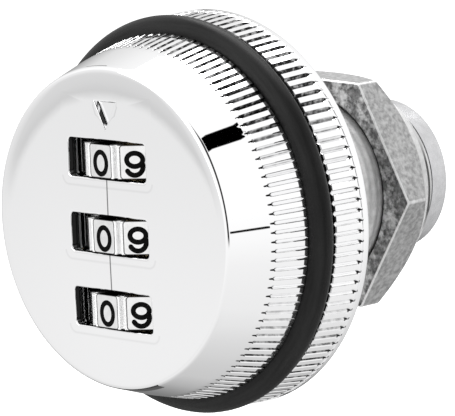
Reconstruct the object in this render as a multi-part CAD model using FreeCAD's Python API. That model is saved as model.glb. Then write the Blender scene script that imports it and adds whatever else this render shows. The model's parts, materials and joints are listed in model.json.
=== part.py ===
import FreeCAD
import Part
import math
import os

# Combination locker lock: a round turning head with three number dials, a fixed threaded barrel
# that goes through the door, and a cam behind it.
# Millimetres. The lock's axis is Y, +Y into the locker, +Z up, the head's face looks along -Y.
# The origin is on the axis, in the plane where the barrel's flange sits on the door.
# Places in the head and barrel are given as a depth behind the rim of the head's face.

# Door fixing: the fixed barrel, its flange and its nut
barrel_depth = 36.85
flange_radius = 16.5
flange_thickness = 2.3
head_gap = 0.3
barrel_bevel = 0.7
nut_width = 23.0
nut_wall = 2.0
nut_thickness = 4.5
nut_chamfer_inset = 0.15
nut_chamfer_angle = 45.0
nut_grip = 10.4
nut_turn = -1.7
nut_bevel = 0.25
thread_clearance = 0.05

# Head: outside
head_depth = 15.6
face_radius = 15.85
face_crown = 0.3
rim_round = 0.5
cone_radius = 17.25
cone_depth = 4.45
front_grip_radius = 18.3
front_grip_depth = 8.7
rear_grip_radius = 19.9
rear_grip_flare = 0.45
rear_lip = 1.0
grip_teeth = 120
tooth_depth = 0.38
tooth_land = 0.6
groove_run_in = 1.25
ring_section = 2.5
ring_floor_radius = 16.5
ring_clearance = 0.05

# Head: inside
face_wall = 1.1
cavity_radius = 14.2
ring_cavity_radius = 13.0
ring_wall = 1.5
spigot_depth = 1.0
spigot_clearance = 0.08

# Windows and marks on the face
window_width = 10.75
window_height = 3.82
window_corner = 0.45
mark_width = 2.9
mark_height = 2.7
mark_top = 12.55
mark_sink = 0.5
line_width = 0.16
line_sink = 0.2

# Dials
dial_pitch = 7.42
dial_middle = -0.57
dial_height = 3.3
dial_flat_radius = 6.05
dial_proud = 0.97
dial_faces = 10
dial_groove_width = 0.55
dial_groove_depth = 0.45
dial_bore_radius = 3.24
key_notch_width = 0.75
key_notch_depth = 0.5
key_height = 0.8
key_clearance = 0.06
key_lift = 0.1

# Code wheels inside the dials
hub_clearance = 0.04
code_disc_radius = 3.8
code_disc_thickness = 1.2
gate_width = 2.3
gate_depth = 1.4
neck_radius = 2.35
neck_above = 0.5
stack_play = 0.05
lift_width = 6.4
lift_front = 3.2
lift_end_gap = 0.1
wave_washer_radius = 2.9
wave_washer_thickness = 0.3
spindle_radius = 1.5
spindle_clearance = 0.05
spindle_end = 0.6

# Carrier that holds the spindle
carrier_depth = 11.6
carrier_thickness = 1.5
carrier_half_width = 6.6
carrier_radius = 12.85
carrier_opening = 3.4
carrier_front_radius = 14.0
cheek_thickness = 1.4
cheek_half_width = 4.3
cheek_front = 2.1
carrier_ear_x = 9.3
carrier_ear_z = 4.3
carrier_ear_radius = 2.0

# Fence: the bar that the code wheels hold back
fence_half_width = 3.2
fence_thickness = 1.0
fence_depth = 12.95
fence_clearance = 0.15
fence_travel = 1.3
fence_bottom = -8.6
finger_width = 1.9
finger_thickness = 1.0
finger_gap = 0.1
nose_circle = 10.0
nose_radius = 1.1
nose_reach = 1.55
ramp_clearance = 0.15
ramp_side_clearance = 0.15
ramp_sections = 12

# Leaf springs
leaf_thickness = 0.2
leaf_width = 1.6
leaf_end = 5.0
detent_thickness = 0.3
detent_clearance = 0.12
detent_height = 2.4
detent_reach = 4.3
detent_base = 1.5

# Screws and the stop pin
ring_screw_x = 10.6
ring_screw_radius = 1.25
ring_screw_head = 2.2
ring_screw_length = 8.0
ring_screw_sunk = 0.05
post_radius = 2.0
carrier_screw_radius = 0.95
carrier_screw_head = 1.7
carrier_screw_head_height = 0.8
carrier_screw_length = 6.0
screw_clearance = 0.03
slot_width = 0.5
slot_sink = 0.4
stop_pin_radius = 1.0
stop_pin_reach = 1.6
stop_clearance = 0.12
knob_angle = 90.0

# Shaft from the head to the cam
shaft_radius = 5.0
running_clearance = 0.05
hub_radius = 8.0
hub_reach = 1.4
hub_end_gap = 0.15
shaft_head = 9.0
shaft_head_thickness = 1.2
square = 7.0
square_clearance = 0.06
square_end_gap = 0.1
clip_radius = 6.7
clip_groove_radius = 4.2
clip_thickness = 0.8
clip_gap = 0.5
clip_mouth = 6.0
clip_clearance = 0.05
barrel_counterbore = 7.1
barrel_counterbore_depth = 1.7

# Cam and what holds it
tail_radius = 7.85
tail_gap = 0.2
stop_washer_thickness = 1.35
cam_thickness = 2.4
cam_reach = 30.0
cam_tip_radius = 5.5
cam_edge_round = 0.5
washer_radius = 5.6
washer_thickness = 0.8
washer_teeth = 12
cam_screw_radius = 2.0
cam_screw_length = 10.0
cam_screw_head_radius = 4.1
cam_screw_head_height = 2.4
cross_length = 3.6
cross_width = 0.9
cross_sink = 1.1

# What follows from the sizes above
face_y = -(head_depth + head_gap + flange_thickness)
barrel_radius = nut_width / 2 - nut_wall
rear_grip_front_radius = rear_grip_radius - rear_grip_flare
ring_thickness = rear_grip_radius - ring_floor_radius - ring_clearance
dial_axis_depth = dial_flat_radius - dial_proud
dial_centres = [dial_middle + dial_pitch * k for k in (1, 0, -1)]
hub_radius_in_dial = dial_bore_radius - hub_clearance
disc_above_dial = key_lift + key_height
neck_below = dial_pitch - dial_height - disc_above_dial - code_disc_thickness - neck_above
wheels_top = dial_centres[0] + dial_height / 2 + disc_above_dial + code_disc_thickness + neck_above
wheels_bottom = dial_centres[-1] - dial_height / 2 - neck_below
stack_top = wheels_top + wave_washer_thickness
stack_bottom = wheels_bottom - disc_above_dial
dial_half_face = dial_flat_radius * math.tan(math.pi / dial_faces) - dial_groove_width / 2
dial_reach = math.hypot(dial_flat_radius, dial_half_face)
skirt_end = front_grip_depth + ring_section + 2 * ring_clearance
ring_front = skirt_end
ring_wall_front = head_depth - ring_wall
flange_front = head_depth + head_gap
nut_front = head_depth + head_gap + flange_thickness + nut_grip
tail_front = barrel_depth + tail_gap
cam_front = tail_front + stop_washer_thickness
cam_back = cam_front + cam_thickness
square_end = cam_back - square_end_gap
hub_depth = head_depth + hub_reach
nose_depth = head_depth + nose_reach
stop_pin_depth = head_depth + stop_pin_reach
recess_radius = hub_radius + running_clearance
recess_depth = hub_depth + hub_end_gap


def at(x, depth, z):
    """A point from its place across, its depth behind the face's rim, and its height."""
    return FreeCAD.Vector(x, face_y + depth, z)


AXIS = FreeCAD.Vector(0, 1, 0)
UP = FreeCAD.Vector(0, 0, 1)
ORIGIN = FreeCAD.Vector(0, 0, 0)


def rounded_wire(points, place):
    """A closed wire through (a, b) or (a, b, radius) points, each given radius drawn as an arc."""
    corners = []
    count = len(points)
    for i, point in enumerate(points):
        here = FreeCAD.Vector(point[0], point[1], 0)
        if len(point) == 2:
            corners.append((here, here, here))
            continue
        before = FreeCAD.Vector(points[i - 1][0], points[i - 1][1], 0)
        after = FreeCAD.Vector(points[(i + 1) % count][0], points[(i + 1) % count][1], 0)
        back = (before - here).normalize()
        ahead = (after - here).normalize()
        half = back.getAngle(ahead) / 2
        inwards = (back + ahead).normalize()
        reach = point[2] / math.tan(half)
        middle = here + inwards * (point[2] / math.sin(half) - point[2])
        corners.append((here + back * reach, middle, here + ahead * reach))
    edges = []
    for i, (start, middle, end) in enumerate(corners):
        if not start.isEqual(end, 1e-7):
            edges.append(Part.Arc(place(start), place(middle), place(end)).toShape())
        following = corners[(i + 1) % count][0]
        if not end.isEqual(following, 1e-7):
            edges.append(Part.LineSegment(place(end), place(following)).toShape())
    return Part.Wire(edges)


def turned(points):
    """A solid turned about the lock's axis from a closed outline of (radius, depth[, round])."""
    wire = rounded_wire(points, lambda p: at(p.x, p.y, 0))
    return Part.Face(wire).revolve(ORIGIN, AXIS, 360)


def turned_upright(points):
    """A solid turned about the dials' spindle from a closed outline of (radius, height)."""
    wire = rounded_wire(points, lambda p: at(p.x, dial_axis_depth, p.y))
    return Part.Face(wire).revolve(at(0, dial_axis_depth, 0), UP, 360)


def plate(points, front, back):
    """A flat plate with an outline of (x, z[, round]) points between two depths."""
    wire = rounded_wire(points, lambda p: at(p.x, front, p.y))
    return Part.Face(wire).extrude(FreeCAD.Vector(0, back - front, 0))


def strip(points, low, high):
    """A strip with an outline of (x, depth[, round]) points between two heights."""
    wire = rounded_wire(points, lambda p: at(p.x, p.y, low))
    return Part.Face(wire).extrude(FreeCAD.Vector(0, 0, high - low))


def rectangle(x_low, x_high, z_low, z_high, corner=0.0):
    """The corners of a rectangle, each rounded where a radius is given."""
    points = [(x_low, z_low), (x_high, z_low), (x_high, z_high), (x_low, z_high)]
    return [(x, z, corner) for x, z in points] if corner else points


def rod(radius, front, back, x=0.0, z=0.0):
    """A round rod along the lock's axis."""
    return Part.makeCylinder(radius, back - front, at(x, front, z), AXIS)


def grip_band(front, back, front_radius, back_radius, inner_radius, run_in=0.0):
    """A knurled band: straight ridges round the axis, drawn between a front and a back outline. With a
    run-in, the grooves start at nothing and reach their full depth after it."""
    def outline(depth, groove=tooth_depth):
        tip = front_radius + (back_radius - front_radius) * (depth - front) / (back - front)
        root = tip - groove
        pitch = 2 * math.pi / grip_teeth
        half_land = tooth_land / 2 * pitch
        points = []
        for k in range(grip_teeth):
            centre = k * pitch
            for angle, radius in (
                (centre - half_land, tip),
                (centre + half_land, tip),
                (centre + pitch / 2, root),
            ):
                points.append(at(radius * math.sin(angle), depth, radius * math.cos(angle)))
        return Part.makePolygon(points + points[:1])
    outlines = [outline(front), outline(back)]
    if run_in > 0:
        outlines = [outline(front, 0.0), outline(front + run_in), outline(back)]
    band = Part.makeLoft(outlines, True, True)
    return band.cut(rod(inner_radius, front - 1, back + 1))


def knob_shell():
    """The front shell: crowned face, cone, front grip, the ring's floor, windows and posts."""
    root = cone_radius - tooth_depth
    body = turned([
        (0, 0),
        (face_radius, 0, rim_round),
        (cone_radius, cone_depth),
        (root - tooth_depth / 2, cone_depth),
        (root - tooth_depth / 2, front_grip_depth),
        (ring_floor_radius, front_grip_depth),
        (ring_floor_radius, skirt_end),
        (cavity_radius, skirt_end),
        (cavity_radius, face_wall, rim_round),
        (0, face_wall),
    ])
    ball = (face_radius ** 2 + face_crown ** 2) / (2 * face_crown)
    dome = Part.makeSphere(ball, at(0, ball - face_crown, 0))
    crown = dome.common(rod(face_radius - rim_round, -face_crown - 1, face_wall / 2))
    band = grip_band(
        cone_depth, front_grip_depth, cone_radius, front_grip_radius, ring_floor_radius, groove_run_in
    )
    body = body.fuse([crown, band])
    for z in dial_centres:
        half_width = window_width / 2
        half_height = window_height / 2
        hole = rectangle(-half_width, half_width, z - half_height, z + half_height, window_corner)
        body = body.cut(plate(hole, -face_crown - 1, face_wall + 1))
    mark = [(-mark_width / 2, mark_top), (mark_width / 2, mark_top), (0, mark_top - mark_height)]
    cuts = [plate(mark, -face_crown - 1, mark_sink)]
    for upper, lower in zip(dial_centres, dial_centres[1:]):
        ends = (lower + window_height / 2, upper - window_height / 2)
        cuts.append(plate(rectangle(-line_width / 2, line_width / 2, *ends), -1, line_sink))
    body = body.cut(cuts)
    posts = []
    for side in (-1, 1):
        posts.append(rod(post_radius, face_wall / 2, ring_wall_front, side * ring_screw_x))
        place = (side * carrier_ear_x, side * carrier_ear_z)
        posts.append(rod(carrier_ear_radius, face_wall / 2, carrier_depth, *place))
    body = body.fuse(posts)
    holes = []
    for side in (-1, 1):
        hole = ring_screw_radius + screw_clearance
        start = head_depth - ring_screw_length - 0.5
        holes.append(rod(hole, start, ring_wall_front + 1, side * ring_screw_x))
        hole = carrier_screw_radius + screw_clearance
        start = carrier_depth + carrier_thickness - carrier_screw_length - 0.5
        place = (side * carrier_ear_x, side * carrier_ear_z)
        holes.append(rod(hole, start, carrier_depth + 1, *place))
    return body.cut(holes)


def rear_ring():
    """The knurled ring that closes the head, with the hub that turns in the barrel's flange."""
    spigot = cavity_radius - spigot_clearance
    root = rear_grip_front_radius - tooth_depth
    lip_front = head_depth - rear_lip
    body = turned([
        (ring_cavity_radius, ring_front - spigot_depth),
        (spigot, ring_front - spigot_depth),
        (spigot, ring_front),
        (root - tooth_depth / 2, ring_front),
        (root - tooth_depth / 2, lip_front),
        (rear_grip_radius, lip_front, 0.15),
        (rear_grip_radius, head_depth, 0.25),
        (hub_radius, head_depth),
        (hub_radius, hub_depth),
        (shaft_radius + running_clearance, hub_depth),
        (shaft_radius + running_clearance, ring_wall_front),
        (ring_cavity_radius, ring_wall_front),
    ])
    band = grip_band(ring_front, lip_front, rear_grip_front_radius, rear_grip_radius, ring_floor_radius)
    body = body.fuse(band)
    half = shaft_head / 2 + square_clearance
    pocket = plate(
        rectangle(-half, half, -half, half, 0.8), ring_wall_front - 1, ring_wall_front + shaft_head_thickness
    )
    cuts = [pocket]
    cuts.append(rod(nose_radius + fence_clearance, ring_wall_front - 1, head_depth + 1, 0, nose_circle))
    cuts.append(rod(stop_pin_radius, ring_wall_front - 1, head_depth + 1, 0, -nose_circle))
    for side in (-1, 1):
        cuts.append(screw_seat(side * ring_screw_x))
    return body.cut(cuts)


def screw_seat(x):
    """The countersunk hole for one ring screw."""
    hole = rod(ring_screw_radius + screw_clearance, ring_wall_front - 1, head_depth + 1, x)
    depth = ring_screw_head - ring_screw_radius
    head_back = head_depth - ring_screw_sunk
    wide = ring_screw_head + screw_clearance
    narrow = ring_screw_radius + screw_clearance
    sink = Part.makeCone(narrow, wide, depth, at(x, head_back - depth, 0), AXIS)
    return hole.fuse([sink, rod(wide, head_back, head_depth + 1, x)])


def grip_ring():
    """The rubber ring between the two knurled bands. Its oval section fills the groove between them and
    comes flush with the rear band."""
    centre = at(rear_grip_radius - ring_thickness / 2, (front_grip_depth + skirt_end) / 2, 0)
    halves = (ring_thickness / 2, ring_section / 2)
    oval = Part.Ellipse(centre, max(halves), min(halves)).toShape()
    if ring_section > ring_thickness:
        oval.rotate(centre, UP, 90)
    return Part.Face(Part.Wire(oval)).revolve(ORIGIN, AXIS, 360)


def ring_screws():
    """The two countersunk screws that hold the rear ring to the shell."""
    screws = []
    for side in (-1, 1):
        x = side * ring_screw_x
        depth = ring_screw_head - ring_screw_radius
        head_back = head_depth - ring_screw_sunk
        head = Part.makeCone(
            ring_screw_radius, ring_screw_head, depth, at(x, head_back - depth, 0), AXIS
        )
        shank = rod(ring_screw_radius, head_back - ring_screw_length, head_back - depth, x)
        screw = head.fuse(shank)
        half = slot_width / 2
        slot = plate(
            rectangle(x - 3, x + 3, -half, half), head_back - slot_sink, head_back + 1
        )
        screws.append(screw.cut(slot).removeSplitter())
    return Part.makeCompound(screws)


def dial(z):
    """One number dial: ten flat faces with a groove between each two, and key notches on top."""
    pitch = 2 * math.pi / dial_faces
    points = []
    for k in range(dial_faces):
        turn = k * pitch - math.pi / 2
        along = FreeCAD.Vector(-math.sin(turn), math.cos(turn), 0)
        out = FreeCAD.Vector(math.cos(turn), math.sin(turn), 0)
        floor = dial_flat_radius - dial_groove_depth
        floor_half = floor * math.tan(pitch / 2) - dial_groove_width / 2
        for distance, radius in (
            (-floor_half, floor),
            (-dial_half_face, dial_flat_radius),
            (dial_half_face, dial_flat_radius),
            (floor_half, floor),
        ):
            point = out * radius + along * distance
            points.append((point.x, dial_axis_depth + point.y))
    low = z - dial_height / 2
    body = strip(points, low, low + dial_height)
    bore = Part.makeCylinder(dial_bore_radius, dial_height + 2, at(0, dial_axis_depth, low - 1), UP)
    notches = []
    for k in range(dial_faces):
        reach = dial_bore_radius + key_notch_depth
        half = key_notch_width / 2
        notch = strip(
            [
                (-half, dial_axis_depth),
                (half, dial_axis_depth),
                (half, dial_axis_depth + reach),
                (-half, dial_axis_depth + reach),
            ],
            low + dial_height - key_height - key_clearance,
            low + dial_height + 1,
        )
        notch.rotate(at(0, dial_axis_depth, 0), UP, 360.0 * k / dial_faces)
        notches.append(notch)
    return body.cut([bore] + notches)


def code_wheel(z):
    """The wheel inside one dial, lifted clear of its notches: hub, key, and disc with its gate."""
    bottom = z - dial_height / 2
    top = z + dial_height / 2
    disc = top + disc_above_dial
    bore = spindle_radius + spindle_clearance
    wheel = turned_upright([
        (bore, bottom - neck_below + stack_play / 2),
        (neck_radius, bottom - neck_below + stack_play / 2),
        (neck_radius, bottom),
        (hub_radius_in_dial, bottom),
        (hub_radius_in_dial, disc),
        (code_disc_radius, disc),
        (code_disc_radius, disc + code_disc_thickness),
        (neck_radius, disc + code_disc_thickness),
        (neck_radius, disc + code_disc_thickness + neck_above - stack_play / 2),
        (bore, disc + code_disc_thickness + neck_above - stack_play / 2),
    ])
    half = key_notch_width / 2 - key_clearance
    tip = dial_axis_depth + dial_bore_radius + key_notch_depth - key_clearance
    start = dial_axis_depth + hub_radius_in_dial - 0.5
    key = strip([(-half, start), (half, start), (half, tip), (-half, tip)], top + key_lift, disc)
    half = gate_width / 2
    start = dial_axis_depth + code_disc_radius - gate_depth
    end = dial_axis_depth + code_disc_radius + 1
    gate = strip(
        [(-half, start), (half, start), (half, end), (-half, end)], disc - 0.01, disc + code_disc_thickness + 0.01
    )
    return wheel.cut(gate).fuse(key)


def spindle():
    """The upright pin that the code wheels turn on."""
    low = stack_bottom - cheek_thickness + 0.1
    high = stack_top + cheek_thickness - 0.1
    pin = Part.makeCylinder(spindle_radius, high - low, at(0, dial_axis_depth, low), UP)
    ends = [e for e in pin.Edges if isinstance(e.Curve, Part.Circle)]
    return pin.makeChamfer(spindle_end / 2, ends)


def wave_washer():
    """The wave spring above the code wheels, pressed flat while they are lifted."""
    ring = Part.makeCylinder(
        wave_washer_radius, wave_washer_thickness, at(0, dial_axis_depth, wheels_top), UP
    )
    bore = Part.makeCylinder(
        spindle_radius + spindle_clearance,
        wave_washer_thickness + 2,
        at(0, dial_axis_depth, wheels_top - 1),
        UP,
    )
    return ring.cut(bore)


def lift_fork():
    """The forked slide under the code wheels, which lifts them while a new code is set."""
    half = lift_width / 2
    slot = spindle_radius + spindle_clearance
    end = carrier_depth - lift_end_gap
    plan = [
        (-half, lift_front, 0.5),
        (-slot, lift_front),
        (-slot, dial_axis_depth + slot, slot),
        (slot, dial_axis_depth + slot, slot),
        (slot, lift_front),
        (half, lift_front, 0.5),
        (half, end),
        (-half, end),
    ]
    return strip(plan, stack_bottom, wheels_bottom)


def dial_carrier():
    """The cast frame behind the dials, with a cheek above and below that holds the spindle."""
    back = carrier_depth + carrier_thickness
    fence_top = nose_circle + nose_radius + 0.1
    low = stack_bottom - cheek_thickness
    high = stack_top + cheek_thickness
    frame = plate(rectangle(-carrier_half_width, carrier_half_width, low, high), carrier_depth, back)
    parts = []
    for start, end in ((low, stack_bottom), (stack_top, high)):
        cheek = [
            (-cheek_half_width, carrier_depth + 0.5),
            (cheek_half_width, carrier_depth + 0.5),
            (cheek_half_width, cheek_front, cheek_half_width - 0.3),
            (-cheek_half_width, cheek_front, cheek_half_width - 0.3),
        ]
        parts.append(strip(cheek, start, end))
    for side in (-1, 1):
        reach = carrier_ear_x + carrier_ear_radius + 0.4
        ear = rectangle(
            min(side * carrier_half_width * 0.9, side * reach),
            max(side * carrier_half_width * 0.9, side * reach),
            side * carrier_ear_z - carrier_ear_radius,
            side * carrier_ear_z + carrier_ear_radius,
        )
        parts.append(plate(ear, carrier_depth, back))
    frame = frame.fuse(parts)
    opening = plate(
        rectangle(
            -carrier_opening, carrier_opening, fence_bottom - fence_clearance, fence_top + fence_clearance
        ),
        carrier_depth - 1,
        back + 1,
    )
    frame = frame.cut(opening)
    behind_spigot = ring_front - spigot_depth - 0.15
    frame = frame.common(
        rod(carrier_front_radius, 0, behind_spigot).fuse(rod(carrier_radius, behind_spigot, back + 1))
    )
    holes = [Part.makeCylinder(spindle_radius + 0.01, high - low + 2, at(0, dial_axis_depth, low - 1), UP)]
    for side in (-1, 1):
        place = (side * carrier_ear_x, side * carrier_ear_z)
        holes.append(rod(carrier_screw_radius + 0.1, carrier_depth - 1, back + 1, *place))
    return frame.cut(holes)


def carrier_screws():
    """The two small cheese-head screws that hold the carrier to its posts."""
    screws = []
    back = carrier_depth + carrier_thickness
    for side in (-1, 1):
        place = (side * carrier_ear_x, side * carrier_ear_z)
        head = rod(carrier_screw_head, back, back + carrier_screw_head_height, *place)
        shank = rod(carrier_screw_radius, back - carrier_screw_length, back, *place)
        half = slot_width / 2
        slot = plate(
            rectangle(place[0] - 3, place[0] + 3, place[1] - half, place[1] + half),
            back + carrier_screw_head_height - slot_sink,
            back + carrier_screw_head_height + 1,
        )
        screws.append(head.fuse(shank).cut(slot).removeSplitter())
    return Part.makeCompound(screws)


def fence():
    """The sliding bar: a plate, one finger for each code wheel, and the nose that rides the ramp."""
    top = nose_circle + nose_radius + 0.1
    body = plate(
        rectangle(-fence_half_width, fence_half_width, fence_bottom, top, 0.6),
        fence_depth,
        fence_depth + fence_thickness,
    )
    tip = dial_axis_depth + code_disc_radius + finger_gap
    parts = [rod(nose_radius, fence_depth + fence_thickness / 2, nose_depth, 0, nose_circle)]
    for z in dial_centres:
        middle = z + dial_height / 2 + disc_above_dial + code_disc_thickness / 2
        half = finger_thickness / 2
        finger = rectangle(-finger_width / 2, finger_width / 2, middle - half, middle + half)
        parts.append(plate(finger, tip, fence_depth + fence_thickness / 2))
    return body.fuse(parts)


def fence_springs():
    """Two bowed leaf springs that push the fence towards the barrel's flange."""
    leaves = []
    seat = carrier_depth
    touch = fence_depth - 0.02
    for z in dial_centres[:2]:
        low = z - dial_height / 2 - 0.5 - leaf_width
        rise = touch - seat
        inner = carrier_opening
        points = [
            (-leaf_end, seat - leaf_thickness),
            (-inner, seat - leaf_thickness),
            (0, touch - leaf_thickness + 0.1, rise * 3),
            (inner, seat - leaf_thickness),
            (leaf_end, seat - leaf_thickness),
            (leaf_end, seat),
            (inner - 0.1, seat),
            (0, touch + 0.22, rise * 3),
            (-inner + 0.1, seat),
            (-leaf_end, seat),
        ]
        leaves.append(strip(points, low, low + leaf_width))
    return Part.makeCompound(leaves)


def detent_spring():
    """A leaf spring beside the dials, with one humped finger for each dial's grooves."""
    tip = -(dial_reach + detent_clearance)
    outside = tip - detent_thickness - 0.35
    seat = carrier_depth
    base = strip(
        [
            (outside, seat - detent_thickness),
            (-carrier_half_width + detent_base, seat - detent_thickness),
            (-carrier_half_width + detent_base, seat),
            (outside, seat),
        ],
        dial_centres[-1] - detent_height,
        dial_centres[0] + detent_height,
    )
    fingers = []
    for z in dial_centres:
        fingers.append(strip(
            [
                (outside, seat),
                (outside, detent_reach + 2.2),
                (tip - detent_thickness, dial_axis_depth, 0.5),
                (outside, detent_reach - 1.0),
                (outside + detent_thickness, detent_reach - 1.0),
                (tip, dial_axis_depth, 0.3),
                (outside + detent_thickness, detent_reach + 2.2),
                (outside + detent_thickness, seat),
            ],
            z - detent_height / 2,
            z + detent_height / 2,
        ))
    return base.fuse(fingers).removeSplitter()


def drive_shaft():
    """The shaft that carries the head's turn through the barrel to the cam."""
    half = shaft_head / 2
    head = plate(
        rectangle(-half, half, -half, half, 0.8), ring_wall_front, ring_wall_front + shaft_head_thickness
    )
    body = rod(shaft_radius, ring_wall_front + shaft_head_thickness, barrel_depth + tail_gap / 2)
    half = square / 2
    tail = plate(rectangle(-half, half, -half, half, 0.15), barrel_depth, square_end)
    shaft = head.fuse([body, tail])
    front = barrel_depth - clip_gap - clip_thickness - clip_clearance
    groove = rod(shaft_radius + 1, front, barrel_depth - clip_gap + clip_clearance)
    groove = groove.cut(rod(clip_groove_radius, front - 1, barrel_depth))
    hole = rod(cam_screw_radius + screw_clearance, cam_back - cam_screw_length - 0.5, square_end + 1)
    return shaft.cut([groove, hole])


def shaft_clip():
    """The open clip that keeps the shaft in the barrel."""
    back = barrel_depth - clip_gap
    front = back - clip_thickness
    clip = rod(clip_radius, front, back).cut(rod(clip_groove_radius + clip_clearance, front - 1, back + 1))
    half = clip_mouth / 2
    mouth = plate(rectangle(-half, half, -clip_radius - 1, 0), front - 1, back + 1)
    return clip.cut(mouth)


def barrel():
    """The fixed barrel: flange with the fence's ramp and the stop slot, and the tube."""
    rear = barrel_depth
    body = turned([
        (shaft_radius + running_clearance, recess_depth),
        (recess_radius, recess_depth),
        (recess_radius, flange_front),
        (flange_radius, flange_front, 0.3),
        (flange_radius, flange_front + flange_thickness, 0.3),
        (barrel_radius, flange_front + flange_thickness),
        (barrel_radius, rear - barrel_bevel),
        (barrel_radius - barrel_bevel, rear),
        (barrel_counterbore, rear),
        (barrel_counterbore, rear - barrel_counterbore_depth),
        (shaft_radius + running_clearance, rear - barrel_counterbore_depth),
    ])
    return body.cut([fence_ramp(), stop_slot()])


def fence_ramp():
    """The space of the channel that the nose rides in: its floor rises with the knob's turn."""
    half_width = nose_radius + ramp_side_clearance
    margin = math.degrees(math.asin(half_width / nose_circle))
    start = -margin
    end = knob_angle + margin
    wires = []
    for i in range(ramp_sections + 1):
        turn = start + (end - start) * i / ramp_sections
        floor = nose_depth + ramp_clearance - fence_travel * max(0.0, turn) / knob_angle
        angle = math.radians(turn)
        points = []
        for radius, depth in (
            (nose_circle - half_width, flange_front - 1),
            (nose_circle + half_width, flange_front - 1),
            (nose_circle + half_width, floor),
            (nose_circle - half_width, floor),
        ):
            points.append(at(radius * math.sin(angle), depth, radius * math.cos(angle)))
        wires.append(Part.makePolygon(points + points[:1]))
    return Part.makeLoft(wires, True, True)


def stop_slot():
    """The quarter-turn slot that the stop pin runs in."""
    radius = stop_pin_radius + stop_clearance
    floor = stop_pin_depth + stop_clearance
    front = flange_front - 1
    points = [
        at(0, front, -nose_circle - radius),
        at(0, front, -nose_circle + radius),
        at(0, floor, -nose_circle + radius),
        at(0, floor, -nose_circle - radius),
    ]
    face = Part.Face(Part.makePolygon(points + points[:1]))
    arc = face.revolve(ORIGIN, AXIS, knob_angle)
    ends = [
        rod(radius, front, floor, 0, -nose_circle),
        rod(radius, front, floor, -nose_circle, 0),
    ]
    return arc.fuse(ends)


def stop_pin():
    """The pin in the rear ring that stops the knob after a quarter turn."""
    return rod(stop_pin_radius - 0.01, ring_wall_front + 0.1, stop_pin_depth, 0, -nose_circle)


def hex_nut():
    """The hexagon nut that clamps the door against the flange, with the chamfer that turning leaves on
    its back."""
    across = nut_width / 2 / math.cos(math.pi / 6)
    points = []
    for k in range(6):
        angle = math.radians(60 * k + nut_turn)
        points.append((across * math.cos(angle), -across * math.sin(angle), 0.35))
    nut_back = nut_front + nut_thickness
    chamfer_start = nut_width / 2 - nut_chamfer_inset
    chamfer_depth = (across - chamfer_start) * math.tan(math.radians(nut_chamfer_angle))
    envelope = turned([
        (0, nut_front - 1),
        (across, nut_front - 1),
        (across, nut_back - chamfer_depth),
        (chamfer_start, nut_back),
        (0, nut_back),
    ])
    bore = barrel_radius + thread_clearance
    hole = turned([
        (0, nut_front - 0.01),
        (bore + nut_bevel, nut_front - 0.01),
        (bore, nut_front + nut_bevel),
        (bore, nut_back - nut_bevel),
        (bore + nut_bevel, nut_back + 0.01),
        (0, nut_back + 0.01),
    ])
    return plate(points, nut_front, nut_back + 1).common(envelope).cut(hole)


def square_hole(front, back):
    """The square hole that fits the shaft's end."""
    half = square / 2 + square_clearance
    return plate(rectangle(-half, half, -half, half), front - 1, back + 1)


def stop_washer():
    """The thick washer between the barrel's end and the cam."""
    disc = turned([
        (0, tail_front),
        (tail_radius, tail_front, 0.2),
        (tail_radius, cam_front, 0.2),
        (0, cam_front),
    ])
    return disc.cut(square_hole(tail_front, cam_front))


def cam():
    """The flat cam: round about the shaft, tapering to a round tip."""
    reach = cam_reach - cam_tip_radius
    lean = math.asin((tail_radius - cam_tip_radius) / reach)
    top = (math.sin(-lean), math.cos(lean))
    hub_top = at(tail_radius * top[0], cam_front, tail_radius * top[1])
    hub_low = at(tail_radius * top[0], cam_front, -tail_radius * top[1])
    tip_top = at(-reach + cam_tip_radius * top[0], cam_front, cam_tip_radius * top[1])
    tip_low = at(-reach + cam_tip_radius * top[0], cam_front, -cam_tip_radius * top[1])
    wire = Part.Wire([
        Part.Arc(hub_low, at(tail_radius, cam_front, 0), hub_top).toShape(),
        Part.LineSegment(hub_top, tip_top).toShape(),
        Part.Arc(tip_top, at(-cam_reach, cam_front, 0), tip_low).toShape(),
        Part.LineSegment(tip_low, hub_low).toShape(),
    ])
    body = Part.Face(wire).extrude(FreeCAD.Vector(0, cam_thickness, 0))
    back = [e for e in body.Edges if abs(e.BoundBox.YMin - (face_y + cam_back)) < 1e-6]
    body = body.makeFillet(cam_edge_round, back)
    return body.cut(square_hole(cam_front, cam_back))


def lock_washer():
    """The toothed washer under the cam screw's head."""
    root = washer_radius - 0.9
    points = []
    for k in range(washer_teeth):
        for part, radius in ((0.0, washer_radius), (0.5, washer_radius), (0.6, root), (0.9, root)):
            angle = 2 * math.pi * (k + part) / washer_teeth
            points.append((radius * math.sin(angle), radius * math.cos(angle)))
    ring = plate(points, cam_back, cam_back + washer_thickness)
    return ring.cut(rod(cam_screw_radius + 0.15, cam_back - 1, cam_back + washer_thickness + 1))


def cam_screw():
    """The pan-head screw in the shaft's end."""
    front = cam_back + washer_thickness
    back = front + cam_screw_head_height
    head = turned([
        (0, front),
        (cam_screw_head_radius, front),
        (cam_screw_head_radius, back, cam_screw_head_height * 0.7),
        (0, back),
    ])
    shank = rod(cam_screw_radius, cam_back - cam_screw_length, front)
    screw = head.fuse(shank)
    half = cross_width / 2
    long_half = cross_length / 2
    cross = [
        plate(rectangle(-half, half, -long_half, long_half), back - cross_sink, back + 1),
        plate(rectangle(-long_half, long_half, -half, half), back - cross_sink, back + 1),
    ]
    return screw.cut(cross)


def save(name, shape):
    """One STEP file for one node."""
    for solid in shape.Solids:
        if not solid.isValid():
            raise ValueError(name + " has a solid that isn't valid")
    shape.exportStep("parts/" + name + ".step")


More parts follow.
